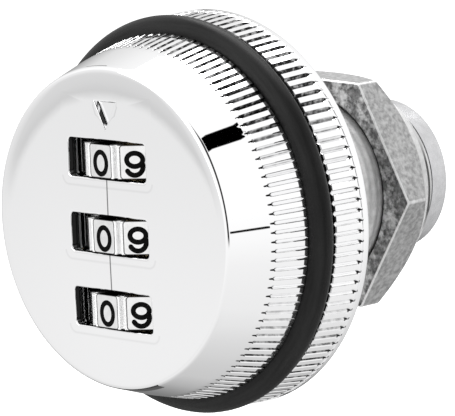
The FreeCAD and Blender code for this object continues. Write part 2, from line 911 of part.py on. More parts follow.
def main():
    os.makedirs("parts", exist_ok=True)
    save("knob_shell", knob_shell())
    save("rear_ring", rear_ring())
    save("grip_ring", grip_ring())
    save("ring_screws", ring_screws())
    for number, z in enumerate(dial_centres, 1):
        save("dial_" + str(number), dial(z))
        save("code_wheel_" + str(number), code_wheel(z))
    save("dial_spindle", spindle())
    save("wave_washer", wave_washer())
    save("lift_fork", lift_fork())
    save("dial_carrier", dial_carrier())
    save("carrier_screws", carrier_screws())
    save("fence", fence())
    save("fence_springs", fence_springs())
    save("detent_spring", detent_spring())
    save("drive_shaft", drive_shaft())
    save("shaft_clip", shaft_clip())
    save("barrel", barrel())
    save("stop_pin", stop_pin())
    save("hex_nut", hex_nut())
    save("stop_washer", stop_washer())
    save("cam", cam())
    save("lock_washer", lock_washer())
    save("cam_screw", cam_screw())


main()
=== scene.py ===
"""A round combination locker lock: a chrome turning head with number dials and a rubber grip ring,
a cast barrel with a hexagon nut for the door, and a cam behind."""

import json
import math

import bmesh
import bpy
import numpy as np
from bpy.props import FloatProperty, FloatVectorProperty, IntProperty, PointerProperty
from mathutils import Matrix, Vector


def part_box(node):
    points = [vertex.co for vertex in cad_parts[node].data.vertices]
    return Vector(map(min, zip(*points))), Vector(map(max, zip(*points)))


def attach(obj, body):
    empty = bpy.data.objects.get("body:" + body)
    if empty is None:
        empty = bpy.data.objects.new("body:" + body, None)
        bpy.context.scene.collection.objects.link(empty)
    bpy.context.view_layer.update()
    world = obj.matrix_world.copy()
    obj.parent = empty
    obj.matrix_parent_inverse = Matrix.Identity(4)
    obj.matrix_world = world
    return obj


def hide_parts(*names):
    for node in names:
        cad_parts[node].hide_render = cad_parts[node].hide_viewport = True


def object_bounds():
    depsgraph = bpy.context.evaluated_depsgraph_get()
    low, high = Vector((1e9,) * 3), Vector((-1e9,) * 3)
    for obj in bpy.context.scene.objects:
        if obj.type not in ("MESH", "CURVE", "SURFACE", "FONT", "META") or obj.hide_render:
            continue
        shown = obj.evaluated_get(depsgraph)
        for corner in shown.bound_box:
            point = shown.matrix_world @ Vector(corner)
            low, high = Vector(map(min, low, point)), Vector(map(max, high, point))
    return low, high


bl_info = {
    "name": "Combination Locker Lock",
    "version": (1, 0, 0),
    "blender": (4, 5, 0),
    "location": "View3D > Sidebar > Lock",
    "description": "Builds the visible pieces of a round combination locker lock",
    "category": "Add Mesh",
}

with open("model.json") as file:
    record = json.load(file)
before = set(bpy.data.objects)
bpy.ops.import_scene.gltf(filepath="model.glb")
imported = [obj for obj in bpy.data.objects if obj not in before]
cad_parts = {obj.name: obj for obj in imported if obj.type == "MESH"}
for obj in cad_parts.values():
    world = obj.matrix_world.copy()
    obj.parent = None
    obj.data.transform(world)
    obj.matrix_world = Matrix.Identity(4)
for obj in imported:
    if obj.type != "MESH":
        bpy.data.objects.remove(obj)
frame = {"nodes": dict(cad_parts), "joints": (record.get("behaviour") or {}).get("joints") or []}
cad_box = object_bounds()

# What the scene takes from the frame, in metres
DIAL_BODIES = ("top_dial", "middle_dial", "bottom_dial")
DIAL_PLACES = [
    Vector(joint["pos_m"])
    for body in DIAL_BODIES
    for joint in frame["joints"]
    if joint["child"] == body
]
DIAL_PITCH = DIAL_PLACES[0].z - DIAL_PLACES[1].z
DIAL_AXIS_DEPTH = 0.00508
FACE_Y = DIAL_PLACES[0].y - DIAL_AXIS_DEPTH
RING_LOW, RING_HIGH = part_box("grip_ring")
BARREL_LOW, BARREL_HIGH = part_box("barrel")
NUT_LOW, NUT_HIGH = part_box("hex_nut")

# Two places nearer than this are the same, mesh points nearer than the second become one, and edges
# shorter than the third are dissolved
NEAR = 1e-9
MERGE = 1.5e-6
EDGE_LEAST = 1e-7

# The turn from one of a dial's flat faces to the next, and how many columns go round each piece
FACE_TURN = math.pi / 5
RING_COLUMNS = 300
BARREL_COLUMNS = 240
NUT_COLUMNS = 720

# How far the field that holds the windows and the mark reaches past them: at the sides, above the
# mark, between the mark and the first window, and under the last window
FIELD_SIDE = 0.0009
FIELD_TOP = 0.0006
FIELD_MARK = 0.0005
FIELD_LOW = 0.001

# How far before its end the front knurled band is rounded off
FRONT_GRIP_ROUND = 0.0002

# The rear ring: the spigot that enters the shell, the hollow behind it, its wall and its edges
SPIGOT_LENGTH = 0.001
SPIGOT_GAP = 0.0001
RING_HOLLOW = 0.013
RING_WALL = 0.0015
LIP_STEP = 0.0003
HUB_ROUND = 0.0002
KNURL_BEVEL = 0.00008
REAR_RUN_IN = 0.6

# The barrel: its tube, the bore that it shares with the rear ring, the recesses in its flange and in its end,
# the thread's ends, and the painted shade of the gap between its end and the washer, with the heights over
# which it fades
TUBE_RADIUS = 0.0095
TUBE_BEVEL = 0.0007
TUBE_ROUND = 0.0002
SHAFT_BORE = 0.00505
FLANGE_ROUND = 0.0003
HUB_RECESS_RADIUS = 0.00805
HUB_RECESS_DEPTH = 0.01715
END_RECESS_RADIUS = 0.0071
END_RECESS_DEPTH = 0.0017
THREAD_START = 0.0006
THREAD_EASE = 0.0006
THREAD_PAST_NUT = 0.0002
BARREL_GAP_SHADE = 0.001
GAP_SHADE_FADE = (0.0025, 0.005)

# The nut: half its width across flats, its turn, how far its corners are eased, the radius at which the
# chamfer of its back starts, its bore, the width of the rim round the bore, and the radii between which a
# painted highlight brightens its corners, as shares of the half width
NUT_FLAT = 0.0115
NUT_TURN = math.radians(1.7)
NUT_CORNER = 0.00006
NUT_CHAMFER = 0.01135
NUT_BORE = 0.00955
NUT_RIM = 0.00025
NUT_HIGHLIGHT = (1.144, 1.148)

# The looks of the face and the dials: the tone of the painted shade in the grooves and other dark parts and
# of the engraved line, how deep a point on the face's skin may lie, how far the painted shade of the windows'
# walls and of the dials' ends reaches, the room under the mark, where the faint painted dark reflection line
# round the windows lies, how soft it is and its tone, the engraved line, the shares of the mark's depth that
# get a painted dark reflection and of the windows' walls that get painted shade, and the painted shade line
# round the pads
SHADE_AND_LINE_TONE = 0.02
SKIN = 0.00005
WALL_REACH = 0.0001
DIAL_END = 0.00003
MARK_ROOM = 0.0002
SWELL_SHADE_REACH = 0.00085
SWELL_SHADE_SOFT = 0.00018
SWELL_SHADE_TONE = 0.1
LINE_TONE = 0.75
MARK_DARK = (0.76, 0.97)
WALL_DARK = 0.99
PAD_SHADE_TONE = 0.85


def length(name, description, default):
    """A length property in metres."""
    return FloatProperty(
        name=name, description=description, default=default, min=0.0, unit="LENGTH", precision=5
    )


def colour(name, description, default):
    """A colour property."""
    return FloatVectorProperty(
        name=name, description=description, default=default, size=3, min=0.0, max=1.0, subtype="COLOR"
    )


class LockSizes(bpy.types.PropertyGroup):
    """Sizes of the visible pieces."""

    face_radius: length("Face radius", "Radius of the face where it meets the cone", 0.01585)
    face_crown: length("Face crown", "How far the face's middle stands proud of its rim", 0.0003)
    face_wall: length("Face wall", "Thickness of the face", 0.0011)
    rim_round: length("Rim round", "Radius of the edge between face and cone", 0.0005)
    cone_radius: length("Cone radius", "Radius at the cone's back edge", 0.01725)
    cone_depth: length("Cone depth", "Depth of the cone behind the face's rim", 0.00445)
    front_grip_radius: length("Front grip radius", "Radius at the back of the front knurls", 0.0183)
    front_grip_depth: length("Front grip depth", "Depth where the front knurls end", 0.0087)
    ring_floor_radius: length("Ring floor radius", "Radius of the floor under the rubber ring", 0.0165)
    skirt_depth: length("Skirt depth", "Depth where the shell's skirt ends", 0.0113)
    cavity_radius: length("Cavity radius", "Radius of the shell's inside", 0.0142)
    rear_grip_front_radius: length("Rear grip front radius", "Radius where the rear knurls start", 0.01945)
    rear_grip_radius: length("Rear grip radius", "Radius of the plain lip behind the rear knurls", 0.0199)
    rear_lip: length("Rear lip", "Width of the plain lip", 0.0009)
    head_depth: length("Head depth", "Depth of the head's back", 0.0156)
    hub_radius: length("Hub radius", "Radius of the hub behind the rear ring", 0.008)
    hub_depth: length("Hub depth", "Depth of the hub's end", 0.017)
    tooth_count: IntProperty(name="Knurls", description="Ridges round each knurled band", default=120, min=12)
    tooth_depth: length("Knurl depth", "Depth of the grooves between the ridges", 0.00024)
    tooth_groove: FloatProperty(
        name="Groove share", description="Share of each ridge's pitch that its groove takes",
        default=0.48, min=0.1, max=0.9
    )
    run_in: length("Groove run-in", "Length over which a groove gets its full depth", 0.0009)
    window_width: length("Window width", "Width of a dial window", 0.01075)
    window_height: length("Window height", "Height of a dial window", 0.00382)
    window_corner: length("Window corner", "Corner radius of a dial window", 0.00045)
    edge_round: length("Edge round", "Rounding of the windows' edges", 0.00012)
    mark_width: length("Mark width", "Width of the sunk triangle", 0.0029)
    mark_height: length("Mark height", "Height of the sunk triangle", 0.0027)
    mark_top: length("Mark top", "Height of the triangle's upper edge above the axis", 0.01255)
    mark_sink: length("Mark depth", "Depth of the sunk triangle", 0.0005)
    line_width: length("Line width", "Width of the engraved line between the windows", 0.00016)
    thread_pitch: length("Thread pitch", "Pitch of the barrel's thread", 0.001)
    thread_depth: length("Thread depth", "Depth of the barrel's thread", 0.00007)
    nut_edge: length("Nut edge", "Bevel of the nut's edges", 0.00017)
    number_height: length("Number height", "Height of the numbers on the dials", 0.00266)
    number_width: length("Number width", "Width of the numbers on the dials", 0.00208)
    number_stroke: length("Number stroke", "Width of the numbers' lines", 0.0005)
    number_drop: length("Number drop", "How far the numbers sit below the dial's middle", 0.0002)
    number_proud: length("Number proud", "How far the ink stands on the dial's face", 0.000012)
    dial_height: length("Dial height", "Height of a number dial", 0.0033)
    pad_width: length("Pad width", "Width of the polished pad under a number", 0.00276)
    pad_height: length("Pad height", "Height of the polished pad under a number", 0.00316)
    pad_corner: length("Pad corner", "Corner radius of the pads", 0.00025)
    pad_border: length("Pad border", "Width of the dark line round a pad", 0.00011)
    dial_flat_radius: length("Dial face radius", "Distance from a dial's axis to its flat faces", 0.00605)


class LockFinish(bpy.types.PropertyGroup):
    """Colours of the finishes."""

    chrome: colour("Chrome", "Bright plating of the head", (0.93, 0.93, 0.935))
    dial: colour("Dial plating", "Plating of the number dials", (0.9, 0.9, 0.9))
    ink: colour("Ink", "Filling of the numbers", (0.004, 0.004, 0.004))
    rubber: colour("Rubber", "Grip ring", (0.0085, 0.0085, 0.0085))
    zinc: colour("Cast zinc", "Barrel and washer behind the head", (0.62, 0.62, 0.62))
    nut: colour("Nut", "Dull cast nut", (0.3, 0.3, 0.3))
    steel: colour("Plated steel", "Cam and screws", (0.6, 0.6, 0.61))
    brass: colour("Brass", "Code wheels and fence", (0.5, 0.4, 0.24))
    backdrop: colour("Backdrop", "Floor and background", (1.0, 1.0, 1.0))


# Shapes as grids of points


def row_round(radius, y, turns):
    """One row round the lock's axis: x = radius sin t, z = radius cos t for each column's angle t. The
    radius and the place along the axis are one number, or one for each column."""
    return np.stack([radius * np.sin(turns), np.full_like(turns, y), radius * np.cos(turns)], axis=1)


def turned(profile, turns):
    """Each (radius, y) point of a profile as one row round the axis."""
    return [row_round(radius, y, turns) for radius, y in profile]


def even_turns(columns):
    """Equal steps round the axis."""
    return np.arange(columns) / columns * 2 * math.pi


def rounded(corners, steps=5):
    """A closed outline through (a, b, radius) corners. At each corner with a radius, the points run on
    the arc that touches both sides, from one touching point to the other in equal angles."""
    points = []
    count = len(corners)
    for i, (a, b, radius) in enumerate(corners):
        here = np.array([a, b])
        if radius <= 0:
            points.append(here[None])
            continue
        before = np.array(corners[i - 1][:2]) - here
        after = np.array(corners[(i + 1) % count][:2]) - here
        before = before / np.linalg.norm(before)
        after = after / np.linalg.norm(after)
        half = math.acos(np.clip(before @ after, -1, 1)) / 2
        inward = (before + after) / np.linalg.norm(before + after)
        centre = here + inward * radius / math.sin(half)
        start = here + before * radius / math.tan(half) - centre
        end = here + after * radius / math.tan(half) - centre
        sweep = math.atan2(start[0] * end[1] - start[1] * end[0], start @ end)
        angle = math.atan2(start[1], start[0]) + sweep * np.linspace(0, 1, steps + 1)
        points.append(centre + radius * np.stack([np.cos(angle), np.sin(angle)], axis=1))
    outline = np.concatenate(points)
    return np.concatenate([outline, outline[:1]])


def new_piece(name, grids, body, node, material, sharp=35.0):
    """One closed mesh from grids of points: each grid's columns wrap round, its cells become quads,
    points that coincide are merged, and faces are turned outwards."""
    points = []
    faces = []
    start = 0
    for grid in grids:
        rows, columns = grid.shape[:2]
        index = start + np.arange(rows * columns).reshape(rows, columns)
        right = np.roll(index, -1, axis=1)
        quads = np.stack([index[:-1], right[:-1], right[1:], index[1:]], axis=2)
        points.append(grid.reshape(-1, 3))
        faces.append(quads.reshape(-1, 4))
        start += rows * columns
    points = np.concatenate(points)
    faces = np.concatenate(faces)
    mesh = bpy.data.meshes.new(name)
    mesh.vertices.add(len(points))
    mesh.vertices.foreach_set("co", points.astype(np.float32).ravel())
    mesh.loops.add(faces.size)
    mesh.loops.foreach_set("vertex_index", faces.astype(np.int32).ravel())
    mesh.polygons.add(len(faces))
    mesh.polygons.foreach_set("loop_start", np.arange(0, faces.size, 4, dtype=np.int32))
    mesh.update(calc_edges=True)
    merged = bmesh.new()
    merged.from_mesh(mesh)
    bmesh.ops.remove_doubles(merged, verts=merged.verts, dist=MERGE)
    bmesh.ops.dissolve_degenerate(merged, edges=merged.edges, dist=EDGE_LEAST)
    bmesh.ops.recalc_face_normals(merged, faces=merged.faces)
    merged.to_mesh(mesh)
    merged.free()
    mesh.polygons.foreach_set("use_smooth", np.ones(len(mesh.polygons), dtype=bool))
    mesh.set_sharp_from_angle(angle=math.radians(sharp))
    piece = bpy.data.objects.new(name, mesh)
    bpy.context.collection.objects.link(piece)
    mesh.materials.append(material)
    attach(piece, body)
    if node:
        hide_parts(node)
    return piece


# The head's face


def knurl_turns(size):
    """The angles of all columns, and how deep each lies in its groove, from 0 on a land to 1. Within
    one knurl's pitch the columns stand on the groove's edges, its sides and its root, and twice on the
    land between two grooves."""
    half = size.tooth_groove / 2
    land = 1 - size.tooth_groove
    in_groove = 0.5 + half * np.linspace(-1, 1, 5)
    on_land = 0.5 + half + land * np.array([1, 2]) / 3
    phases = np.concatenate([in_groove, on_land])
    turns = (np.arange(size.tooth_count)[:, None] + phases[None]) / size.tooth_count * 2 * math.pi
    cut = np.clip(1 - np.abs(phases - 0.5) / half, 0, 1)
    return turns.ravel(), np.tile(cut, size.tooth_count)


def knurl_row(size, turns, cut, radius, y, share):
    """One row over the knurls, where each groove has a share of its depth, or all of it from one on."""
    groove = np.maximum(cut - (1 - min(share, 1.0)), 0) * size.tooth_depth
    return row_round(radius - groove, y, turns)


def crown_reach(size):
    """The distance from the axis at which the face's crown has run out."""
    return size.face_radius - size.rim_round * 0.7


def face_depth(size, x, z):
    """The face is a shallow bowl turned outwards: its depth is minus the crown in the middle and
    grows with the square of the distance from the axis, to nothing at the rim."""
    return -size.face_crown * (1 - np.minimum((x * x + z * z) / crown_reach(size) ** 2, 1.0))


def lifted(size, plan, depth=None):
    """Plan points (x, z) on the face's surface, or at a given depth behind the rim."""
    x, z = plan[..., 0], plan[..., 1]
    y = face_depth(size, x, z) if depth is None else np.full_like(x, depth)
    return np.stack([x, FACE_Y + y, z], axis=-1)


def inner_frame(turns, half_width, low, high, levels):
    """Where the ray of each angle leaves the rectangle that holds the windows and the mark. The
    columns next to its corners and to the levels between the cells move onto them."""
    with np.errstate(divide="ignore"):
        sideways = half_width / np.abs(np.sin(turns))
        upright = np.where(np.cos(turns) > 0, high, -low) / np.abs(np.cos(turns))
    reach = np.minimum(sideways, upright)
    points = np.stack([reach * np.sin(turns), reach * np.cos(turns)], axis=1)
    for side in (-1, 1):
        for z in (low, high, *levels):
            anchor = (side * half_width, z)
            points[np.argmin(np.linalg.norm(points - anchor, axis=1))] = anchor
    return points


def cell_loop(border, half_width, low, high, top_row, bottom_row):
    """One cell's outline, clockwise from its upper left corner, with each point's side and its share
    of the way along that side."""
    inside = (border[:, 1] > low - NEAR) & (border[:, 1] < high + NEAR)
    right = border[inside & (np.abs(border[:, 0] - half_width) < NEAR)]
    left = border[inside & (np.abs(border[:, 0] + half_width) < NEAR)]
    right = right[np.argsort(-right[:, 1])]
    left = left[np.argsort(left[:, 1])]
    sides = (top_row, right, bottom_row[::-1], left)
    points = []
    shares = []
    for number, side in enumerate(sides):
        walk = np.concatenate([[0.0], np.cumsum(np.linalg.norm(np.diff(side, axis=0), axis=1))])
        points.append(side[:-1])
        shares.append(np.stack([np.full(len(side) - 1, number), walk[:-1] / walk[-1]], axis=1))
    return np.concatenate(points), np.concatenate(shares)


def window_outline(size, shares, z):
    """Points and outward directions on a rounded rectangle. Each of its four sides takes half of both
    its corner arcs: along the arcs the direction turns, along the straight it stays."""
    corner = size.window_corner
    quarter = corner * math.pi / 4
    spans = np.array([size.window_width, size.window_height, size.window_width, size.window_height])
    offsets = np.roll(spans, 1) / 2
    side = shares[:, 0].astype(int)
    span = spans[side]
    straight = span - 2 * corner
    walk = shares[:, 1] * (straight + 2 * quarter)
    lean = np.clip((walk - quarter) / corner, -math.pi / 4, 0)
    lean = lean + np.clip((walk - quarter - straight) / corner, 0, math.pi / 4)
    along = -span / 2 + corner + np.clip(walk - quarter, 0, straight) + corner * np.sin(lean)
    across = offsets[side] + corner * (np.cos(lean) - 1)
    ahead = np.array([[1, 0], [0, -1], [-1, 0], [0, 1]])[side]
    out = np.array([[0, 1], [1, 0], [0, -1], [-1, 0]])[side]
    points = ahead * along[:, None] + out * across[:, None] + np.array([0, z])
    return points, ahead * np.sin(lean)[:, None] + out * np.cos(lean)[:, None]


# How far each row lies on its way from a cell's outline to the window's edge or to the mark's edge
WINDOW_WAY = (0, 0.3, 0.55, 0.75, 0.9, 1)
MARK_WAY = (0, 0.4, 0.7, 0.9, 1)

# The sunk triangle's rows: their share of the outline and of the sink
MARK_ROWS = ((0.94, 0.9), (0.8648, 1.0), (0.47, 1.0), (0.0, 1.0))


def window_cell(size, loop, shares, z):
    """The face round one window: rows run from the cell's outline to the hole, round its edge, along
    the wall to the face's back, and out to the cell's outline again."""
    hole, out = window_outline(size, shares, z)
    edge = size.edge_round
    rows = [lifted(size, loop + (hole + out * edge - loop) * share) for share in WINDOW_WAY]
    for angle in np.radians((22.5, 45, 67.5, 90)):
        row = lifted(size, hole + out * edge * (1 - math.sin(angle)))
        row[:, 1] += edge * (1 - math.cos(angle))
        rows.append(row)
    rows.append(lifted(size, hole, size.face_wall * 0.6))
    rows.append(lifted(size, hole, size.face_wall))
    rows.append(lifted(size, loop, size.face_wall))
    return np.stack(rows)


def mark_cell(size, loop):
    """The face round the sunk triangle: rows run from the cell's outline to the triangle, down its
    leaning wall and over its floor to a point. Seen from the middle of the triangle's inner circle,
    each side lies at that circle's radius divided by the cosine of the angle to the side's normal."""
    half = size.mark_width / 2
    slant = math.hypot(half, size.mark_height)
    lean = half / slant
    radius = size.mark_height * lean / (1 + lean)
    middle = np.array([0, size.mark_top - radius])
    normals = np.array([[0, 1], [size.mark_height / slant, -lean], [-size.mark_height / slant, -lean]])
    toward = loop - middle
    toward = toward / np.linalg.norm(toward, axis=1)[:, None]
    outline = toward * (radius / (toward @ normals.T).max(axis=1))[:, None]
    edge = size.edge_round
    start = middle + outline * (1 + edge / radius)
    rows = [lifted(size, loop + (start - loop) * share) for share in MARK_WAY]
    rounds = [(1 + edge * 0.35 / radius, edge * 0.12), (1.0, edge * 0.5)]
    walls = [(share, size.mark_sink * drop) for share, drop in MARK_ROWS]
    for share, drop in rounds + walls:
        row = lifted(size, middle + outline * share)
        row[:, 1] += drop
        rows.append(row)
    return np.stack(rows)


def head_side_rows(size, turns, cut):
    """The head from its rim back: the rim's arc, the cone, the knurls, the floor under the rubber
    ring, the skirt's end and the inside. On the knurls the radius is the land's, or the groove's where
    that is smaller; a groove gets its depth evenly over the run-in."""
    slope = (size.cone_radius - size.face_radius) / size.cone_depth
    sweep = math.pi / 2 - math.atan(slope)
    touch = size.face_radius - size.rim_round * math.tan(sweep / 2)
    rim = sweep * np.linspace(0, 1, 9)
    profile = [(touch + size.rim_round * math.sin(a), size.rim_round * (1 - math.cos(a))) for a in rim]
    cone = np.linspace(profile[-1][1], size.cone_depth, 9)[1:]
    profile += [(size.face_radius + slope * depth, depth) for depth in cone]
    rows = turned([(radius, FACE_Y + depth) for radius, depth in profile], turns)
    front, back = size.cone_depth, size.front_grip_depth
    grip = (size.front_grip_radius - size.cone_radius) / (back - front)
    run_end = front + size.run_in
    depths = np.concatenate([
        np.linspace(front, run_end, 13)[1:],
        np.linspace(run_end, back - FRONT_GRIP_ROUND, 5)[1:],
    ])
    for depth in depths:
        tip = size.cone_radius + grip * (depth - front)
        rows.append(knurl_row(size, turns, cut, tip, FACE_Y + depth, (depth - front) / size.run_in))
    end = size.front_grip_radius - size.tooth_depth * (0.4 + 0.3 * cut)
    rows.append(row_round(end, FACE_Y + back, turns))
    rows += turned([
        (size.ring_floor_radius, FACE_Y + back),
        (size.ring_floor_radius, FACE_Y + size.skirt_depth),
        (size.cavity_radius, FACE_Y + size.skirt_depth),
        (size.cavity_radius, FACE_Y + size.face_wall),
    ], turns)
    return np.stack(rows)


def head_grids(size):
    """All grids of the front shell. The face outside the rectangle of windows runs evenly from that
    rectangle to the rim's circle, in front and behind."""
    turns, cut = knurl_turns(size)
    heights = [place.z for place in DIAL_PLACES]
    half_width = size.window_width / 2 + FIELD_SIDE
    levels = [size.mark_top - size.mark_height - FIELD_MARK]
    levels += [(upper + lower) / 2 for upper, lower in zip(heights, heights[1:])]
    high = size.mark_top + FIELD_TOP
    low = heights[-1] - size.window_height / 2 - FIELD_LOW
    border = inner_frame(turns, half_width, low, high, levels)
    side = head_side_rows(size, turns, cut)
    rim = side[0][:, [0, 2]]
    front = [lifted(size, border + (rim - border) * share) for share in np.linspace(0, 1, 13)]
    front[-1] = side[0]
    back = side[-1][:, [0, 2]]
    behind = [lifted(size, back + (border - back) * share, size.face_wall) for share in (0, 0.5, 1)]
    grids = [np.stack(front), side, np.stack(behind)]
    across = np.linspace(-half_width, half_width, 121)
    edges = (high, *levels, low)
    rows = []
    for z in edges:
        row = border[np.abs(border[:, 1] - z) < NEAR]
        if z in levels:
            row = np.stack([across, np.full_like(across, z)], axis=1)
        rows.append(row[np.argsort(row[:, 0])])
    for number, (top, bottom) in enumerate(zip(edges, edges[1:])):
        loop, shares = cell_loop(border, half_width, bottom, top, rows[number], rows[number + 1])
        if number > 0:
            grids.append(window_cell(size, loop, shares, heights[number - 1]))
            continue
        middle = np.repeat(loop.mean(axis=0)[None], len(loop), 0)
        grids.append(mark_cell(size, loop))
        grids.append(np.stack([lifted(size, plan, size.face_wall) for plan in (loop, middle)]))
    return grids


def rear_ring_grid(size):
    """The rear ring: its profile is carried round the axis, and on the knurls each column's radius is
    lessened by its groove, which gets shallower evenly before the plain lip."""
    turns, cut = knurl_turns(size)
    front = FACE_Y + size.skirt_depth
    back = FACE_Y + size.head_depth
    lip = back - size.rear_lip
    tip = size.rear_grip_front_radius
    spigot = size.cavity_radius - SPIGOT_GAP
    rows = turned([(spigot, front - SPIGOT_LENGTH), (spigot, front)], turns)
    rows.append(row_round(tip - KNURL_BEVEL - size.tooth_depth * cut, front, turns))
    for y in np.linspace(front + KNURL_BEVEL, lip, 14):
        radius = tip + (size.rear_grip_radius - tip) * (y - front) / (back - front)
        rows.append(knurl_row(size, turns, cut, radius, y, (lip - y) / (size.run_in * REAR_RUN_IN)))
    profile = rounded([
        (size.rear_grip_radius - LIP_STEP, lip, 0),
        (size.rear_grip_radius, lip, 0),
        (size.rear_grip_radius, back, LIP_STEP),
        (size.hub_radius, back, 0),
        (size.hub_radius, FACE_Y + size.hub_depth, HUB_ROUND),
        (SHAFT_BORE, FACE_Y + size.hub_depth, 0),
        (SHAFT_BORE, back - RING_WALL, 0),
        (RING_HOLLOW, back - RING_WALL, 0),
        (RING_HOLLOW, front - SPIGOT_LENGTH, 0),
    ])[1:-1]
    rows += turned(profile, turns)
    return np.stack(rows + rows[:1])


# The pieces behind the head


def torus_grid(radius, y, across, along):
    """A ring of oval section: an ellipse with one half axis across the lock's axis and one along it,
    carried round the axis."""
    angle = np.linspace(0, 2 * math.pi, 49)
    profile = np.stack([radius + across * np.cos(angle), y + along * np.sin(angle)], axis=1)
    return np.stack(turned(profile, even_turns(RING_COLUMNS)))


def barrel_grid(size):
    """The flange and tube. On the thread the radius is lessened by half its depth times one minus the
    cosine of the turns made, which grow by one for each pitch along the axis and each turn round it."""
    turns = even_turns(BARREL_COLUMNS)
    front, back = BARREL_LOW.y, BARREL_HIGH.y
    profile = rounded([
        (TUBE_RADIUS, THREAD_START, 0),
        (TUBE_RADIUS, 0.0, 0),
        (BARREL_HIGH.x, 0.0, FLANGE_ROUND),
        (BARREL_HIGH.x, front, FLANGE_ROUND),
        (HUB_RECESS_RADIUS, front, 0),
        (HUB_RECESS_RADIUS, FACE_Y + HUB_RECESS_DEPTH, 0),
        (SHAFT_BORE, FACE_Y + HUB_RECESS_DEPTH, 0),
        (SHAFT_BORE, back - END_RECESS_DEPTH, 0),
        (END_RECESS_RADIUS, back - END_RECESS_DEPTH, 0),
        (END_RECESS_RADIUS, back, 0),
        (TUBE_RADIUS - TUBE_BEVEL, back, TUBE_ROUND),
        (TUBE_RADIUS, back - TUBE_BEVEL, 0),
    ])[:-1]
    rows = turned(profile, turns)
    runout = NUT_HIGH.y + THREAD_PAST_NUT
    for y in np.linspace(runout, THREAD_START, 160)[:-1]:
        phase = 2 * math.pi * y / size.thread_pitch + turns
        ease = min((runout - y) / THREAD_EASE, (y - THREAD_START) / THREAD_EASE, 1.0)
        radius = TUBE_RADIUS - size.thread_depth * ease * (0.5 - 0.5 * np.cos(phase))
        rows.append(row_round(radius, y, turns))
    return np.stack(rows + rows[:1])


def nut_grid(size):
    """The nut: the profile of a ring section, whose outer radius at each angle is half the width
    across flats divided by the cosine of the angle to the nearest flat, eased at the corners. On its
    back that outline meets a cone of 45 degrees, so each flat ends in an arc."""
    turns = even_turns(NUT_COLUMNS)
    off = (turns - NUT_TURN + math.pi / 6) % (math.pi / 3) - math.pi / 6
    outer = np.minimum(NUT_FLAT / np.cos(off), NUT_FLAT / math.cos(math.pi / 6) - NUT_CORNER)
    front, back = NUT_LOW.y, NUT_HIGH.y
    meet = back - (outer - NUT_CHAMFER)
    edge = size.nut_edge
    rim = NUT_BORE + NUT_RIM
    return np.stack(turned([
        (outer - edge, front),
        (outer - edge * 0.35, front + edge * 0.3),
        (outer, front + edge),
        (outer, meet - edge * 0.4),
        (outer - edge * 0.12, meet),
        (outer - edge * 0.28, meet + edge * 0.28),
        (NUT_CHAMFER, back),
        ((NUT_CHAMFER + rim) / 2, back),
        (rim, back),
        (NUT_BORE, back - NUT_RIM),
        (NUT_BORE, front + NUT_RIM),
        (rim, front),
        ((outer - edge + rim) / 2, front),
        (outer - edge, front),
    ], turns))


# How much further each stroke of a number stands out than the one before
LAYER_STEP = 0.1

# Numbers: each is a few strokes on a field from -0.5 to 0.5. An arc is (middle, half axes, first and
# last angle in degrees), a line is two points.
NUMBER_STROKES = (
    ((0, 0, 0.5, 0.5, 0, 360),),
    ((-0.28, 0.26, 0.08, 0.5), (0.08, 0.5, 0.08, -0.5)),
    ((0, 0.2, 0.48, 0.3, 165, -38), (0.38, 0.01, -0.5, -0.5), (-0.5, -0.5, 0.5, -0.5)),
    ((0, 0.25, 0.44, 0.25, 150, -90), (0, -0.25, 0.5, 0.25, 90, -150)),
    ((0.2, 0.5, 0.2, -0.5), (0.2, 0.5, -0.5, -0.2), (-0.5, -0.2, 0.5, -0.2)),
    ((0.4, 0.5, -0.36, 0.5), (-0.36, 0.5, -0.42, 0.04), (0, -0.16, 0.5, 0.34, 145, -150)),
    ((0, -0.2, 0.5, 0.3, 0, 360), (0.02, 0.1, 0.52, 0.4, 205, 30)),
    ((-0.5, 0.5, 0.5, 0.5), (0.5, 0.5, -0.14, -0.5)),
    ((0, 0.26, 0.42, 0.24, 0, 360), (0, -0.24, 0.5, 0.26, 0, 360)),
    ((0, 0.2, 0.5, 0.3, 0, 360), (-0.02, -0.1, 0.52, 0.4, 25, -150)),
)


def stroke_grid(size, stroke, proud):
    """One stroke as a closed ribbon with round ends. Its middle line is an arc or a straight, and its
    edges lie half the stroke's width to either side; past an open end the half width falls as the
    cosine of an angle while the middle moves on with its sine."""
    field = np.array([size.number_width, size.number_height]) - size.number_stroke
    half = size.number_stroke / 2
    if len(stroke) == 4:
        line = np.linspace(np.array(stroke[:2]), np.array(stroke[2:]), 3) * field
    else:
        angle = np.radians(np.linspace(stroke[4], stroke[5], 33))
        line = (np.stack([np.cos(angle), np.sin(angle)], axis=1) * stroke[2:4] + stroke[:2]) * field
    ahead = np.gradient(line, axis=0)
    ahead = ahead / np.linalg.norm(ahead, axis=1)[:, None]
    width = np.full(len(line), half)
    if len(stroke) == 4 or abs(stroke[5] - stroke[4]) < 360:
        cap = np.radians((90.0, 60.0, 30.0))
        rise = half * np.sin(cap)[:, None]
        line = np.concatenate([line[0] - ahead[0] * rise, line, line[-1] + ahead[-1] * rise[::-1]])
        width = np.concatenate([half * np.cos(cap), width, half * np.cos(cap[::-1])])
        ahead = np.concatenate([np.repeat(ahead[:1], 3, 0), ahead, np.repeat(ahead[-1:], 3, 0)])
    else:
        ahead[0] = ahead[-1] = (line[1] - line[-2]) / np.linalg.norm(line[1] - line[-2])
    aside = np.stack([-ahead[:, 1], ahead[:, 0]], axis=1) * width[:, None]
    corners = []
    for side, level in ((1, -proud), (1, proud), (-1, proud), (-1, -proud)):
        corners.append(np.concatenate([line + aside * side, np.full((len(line), 1), level)], axis=1))
    return np.stack(corners, axis=1)


# Finishes


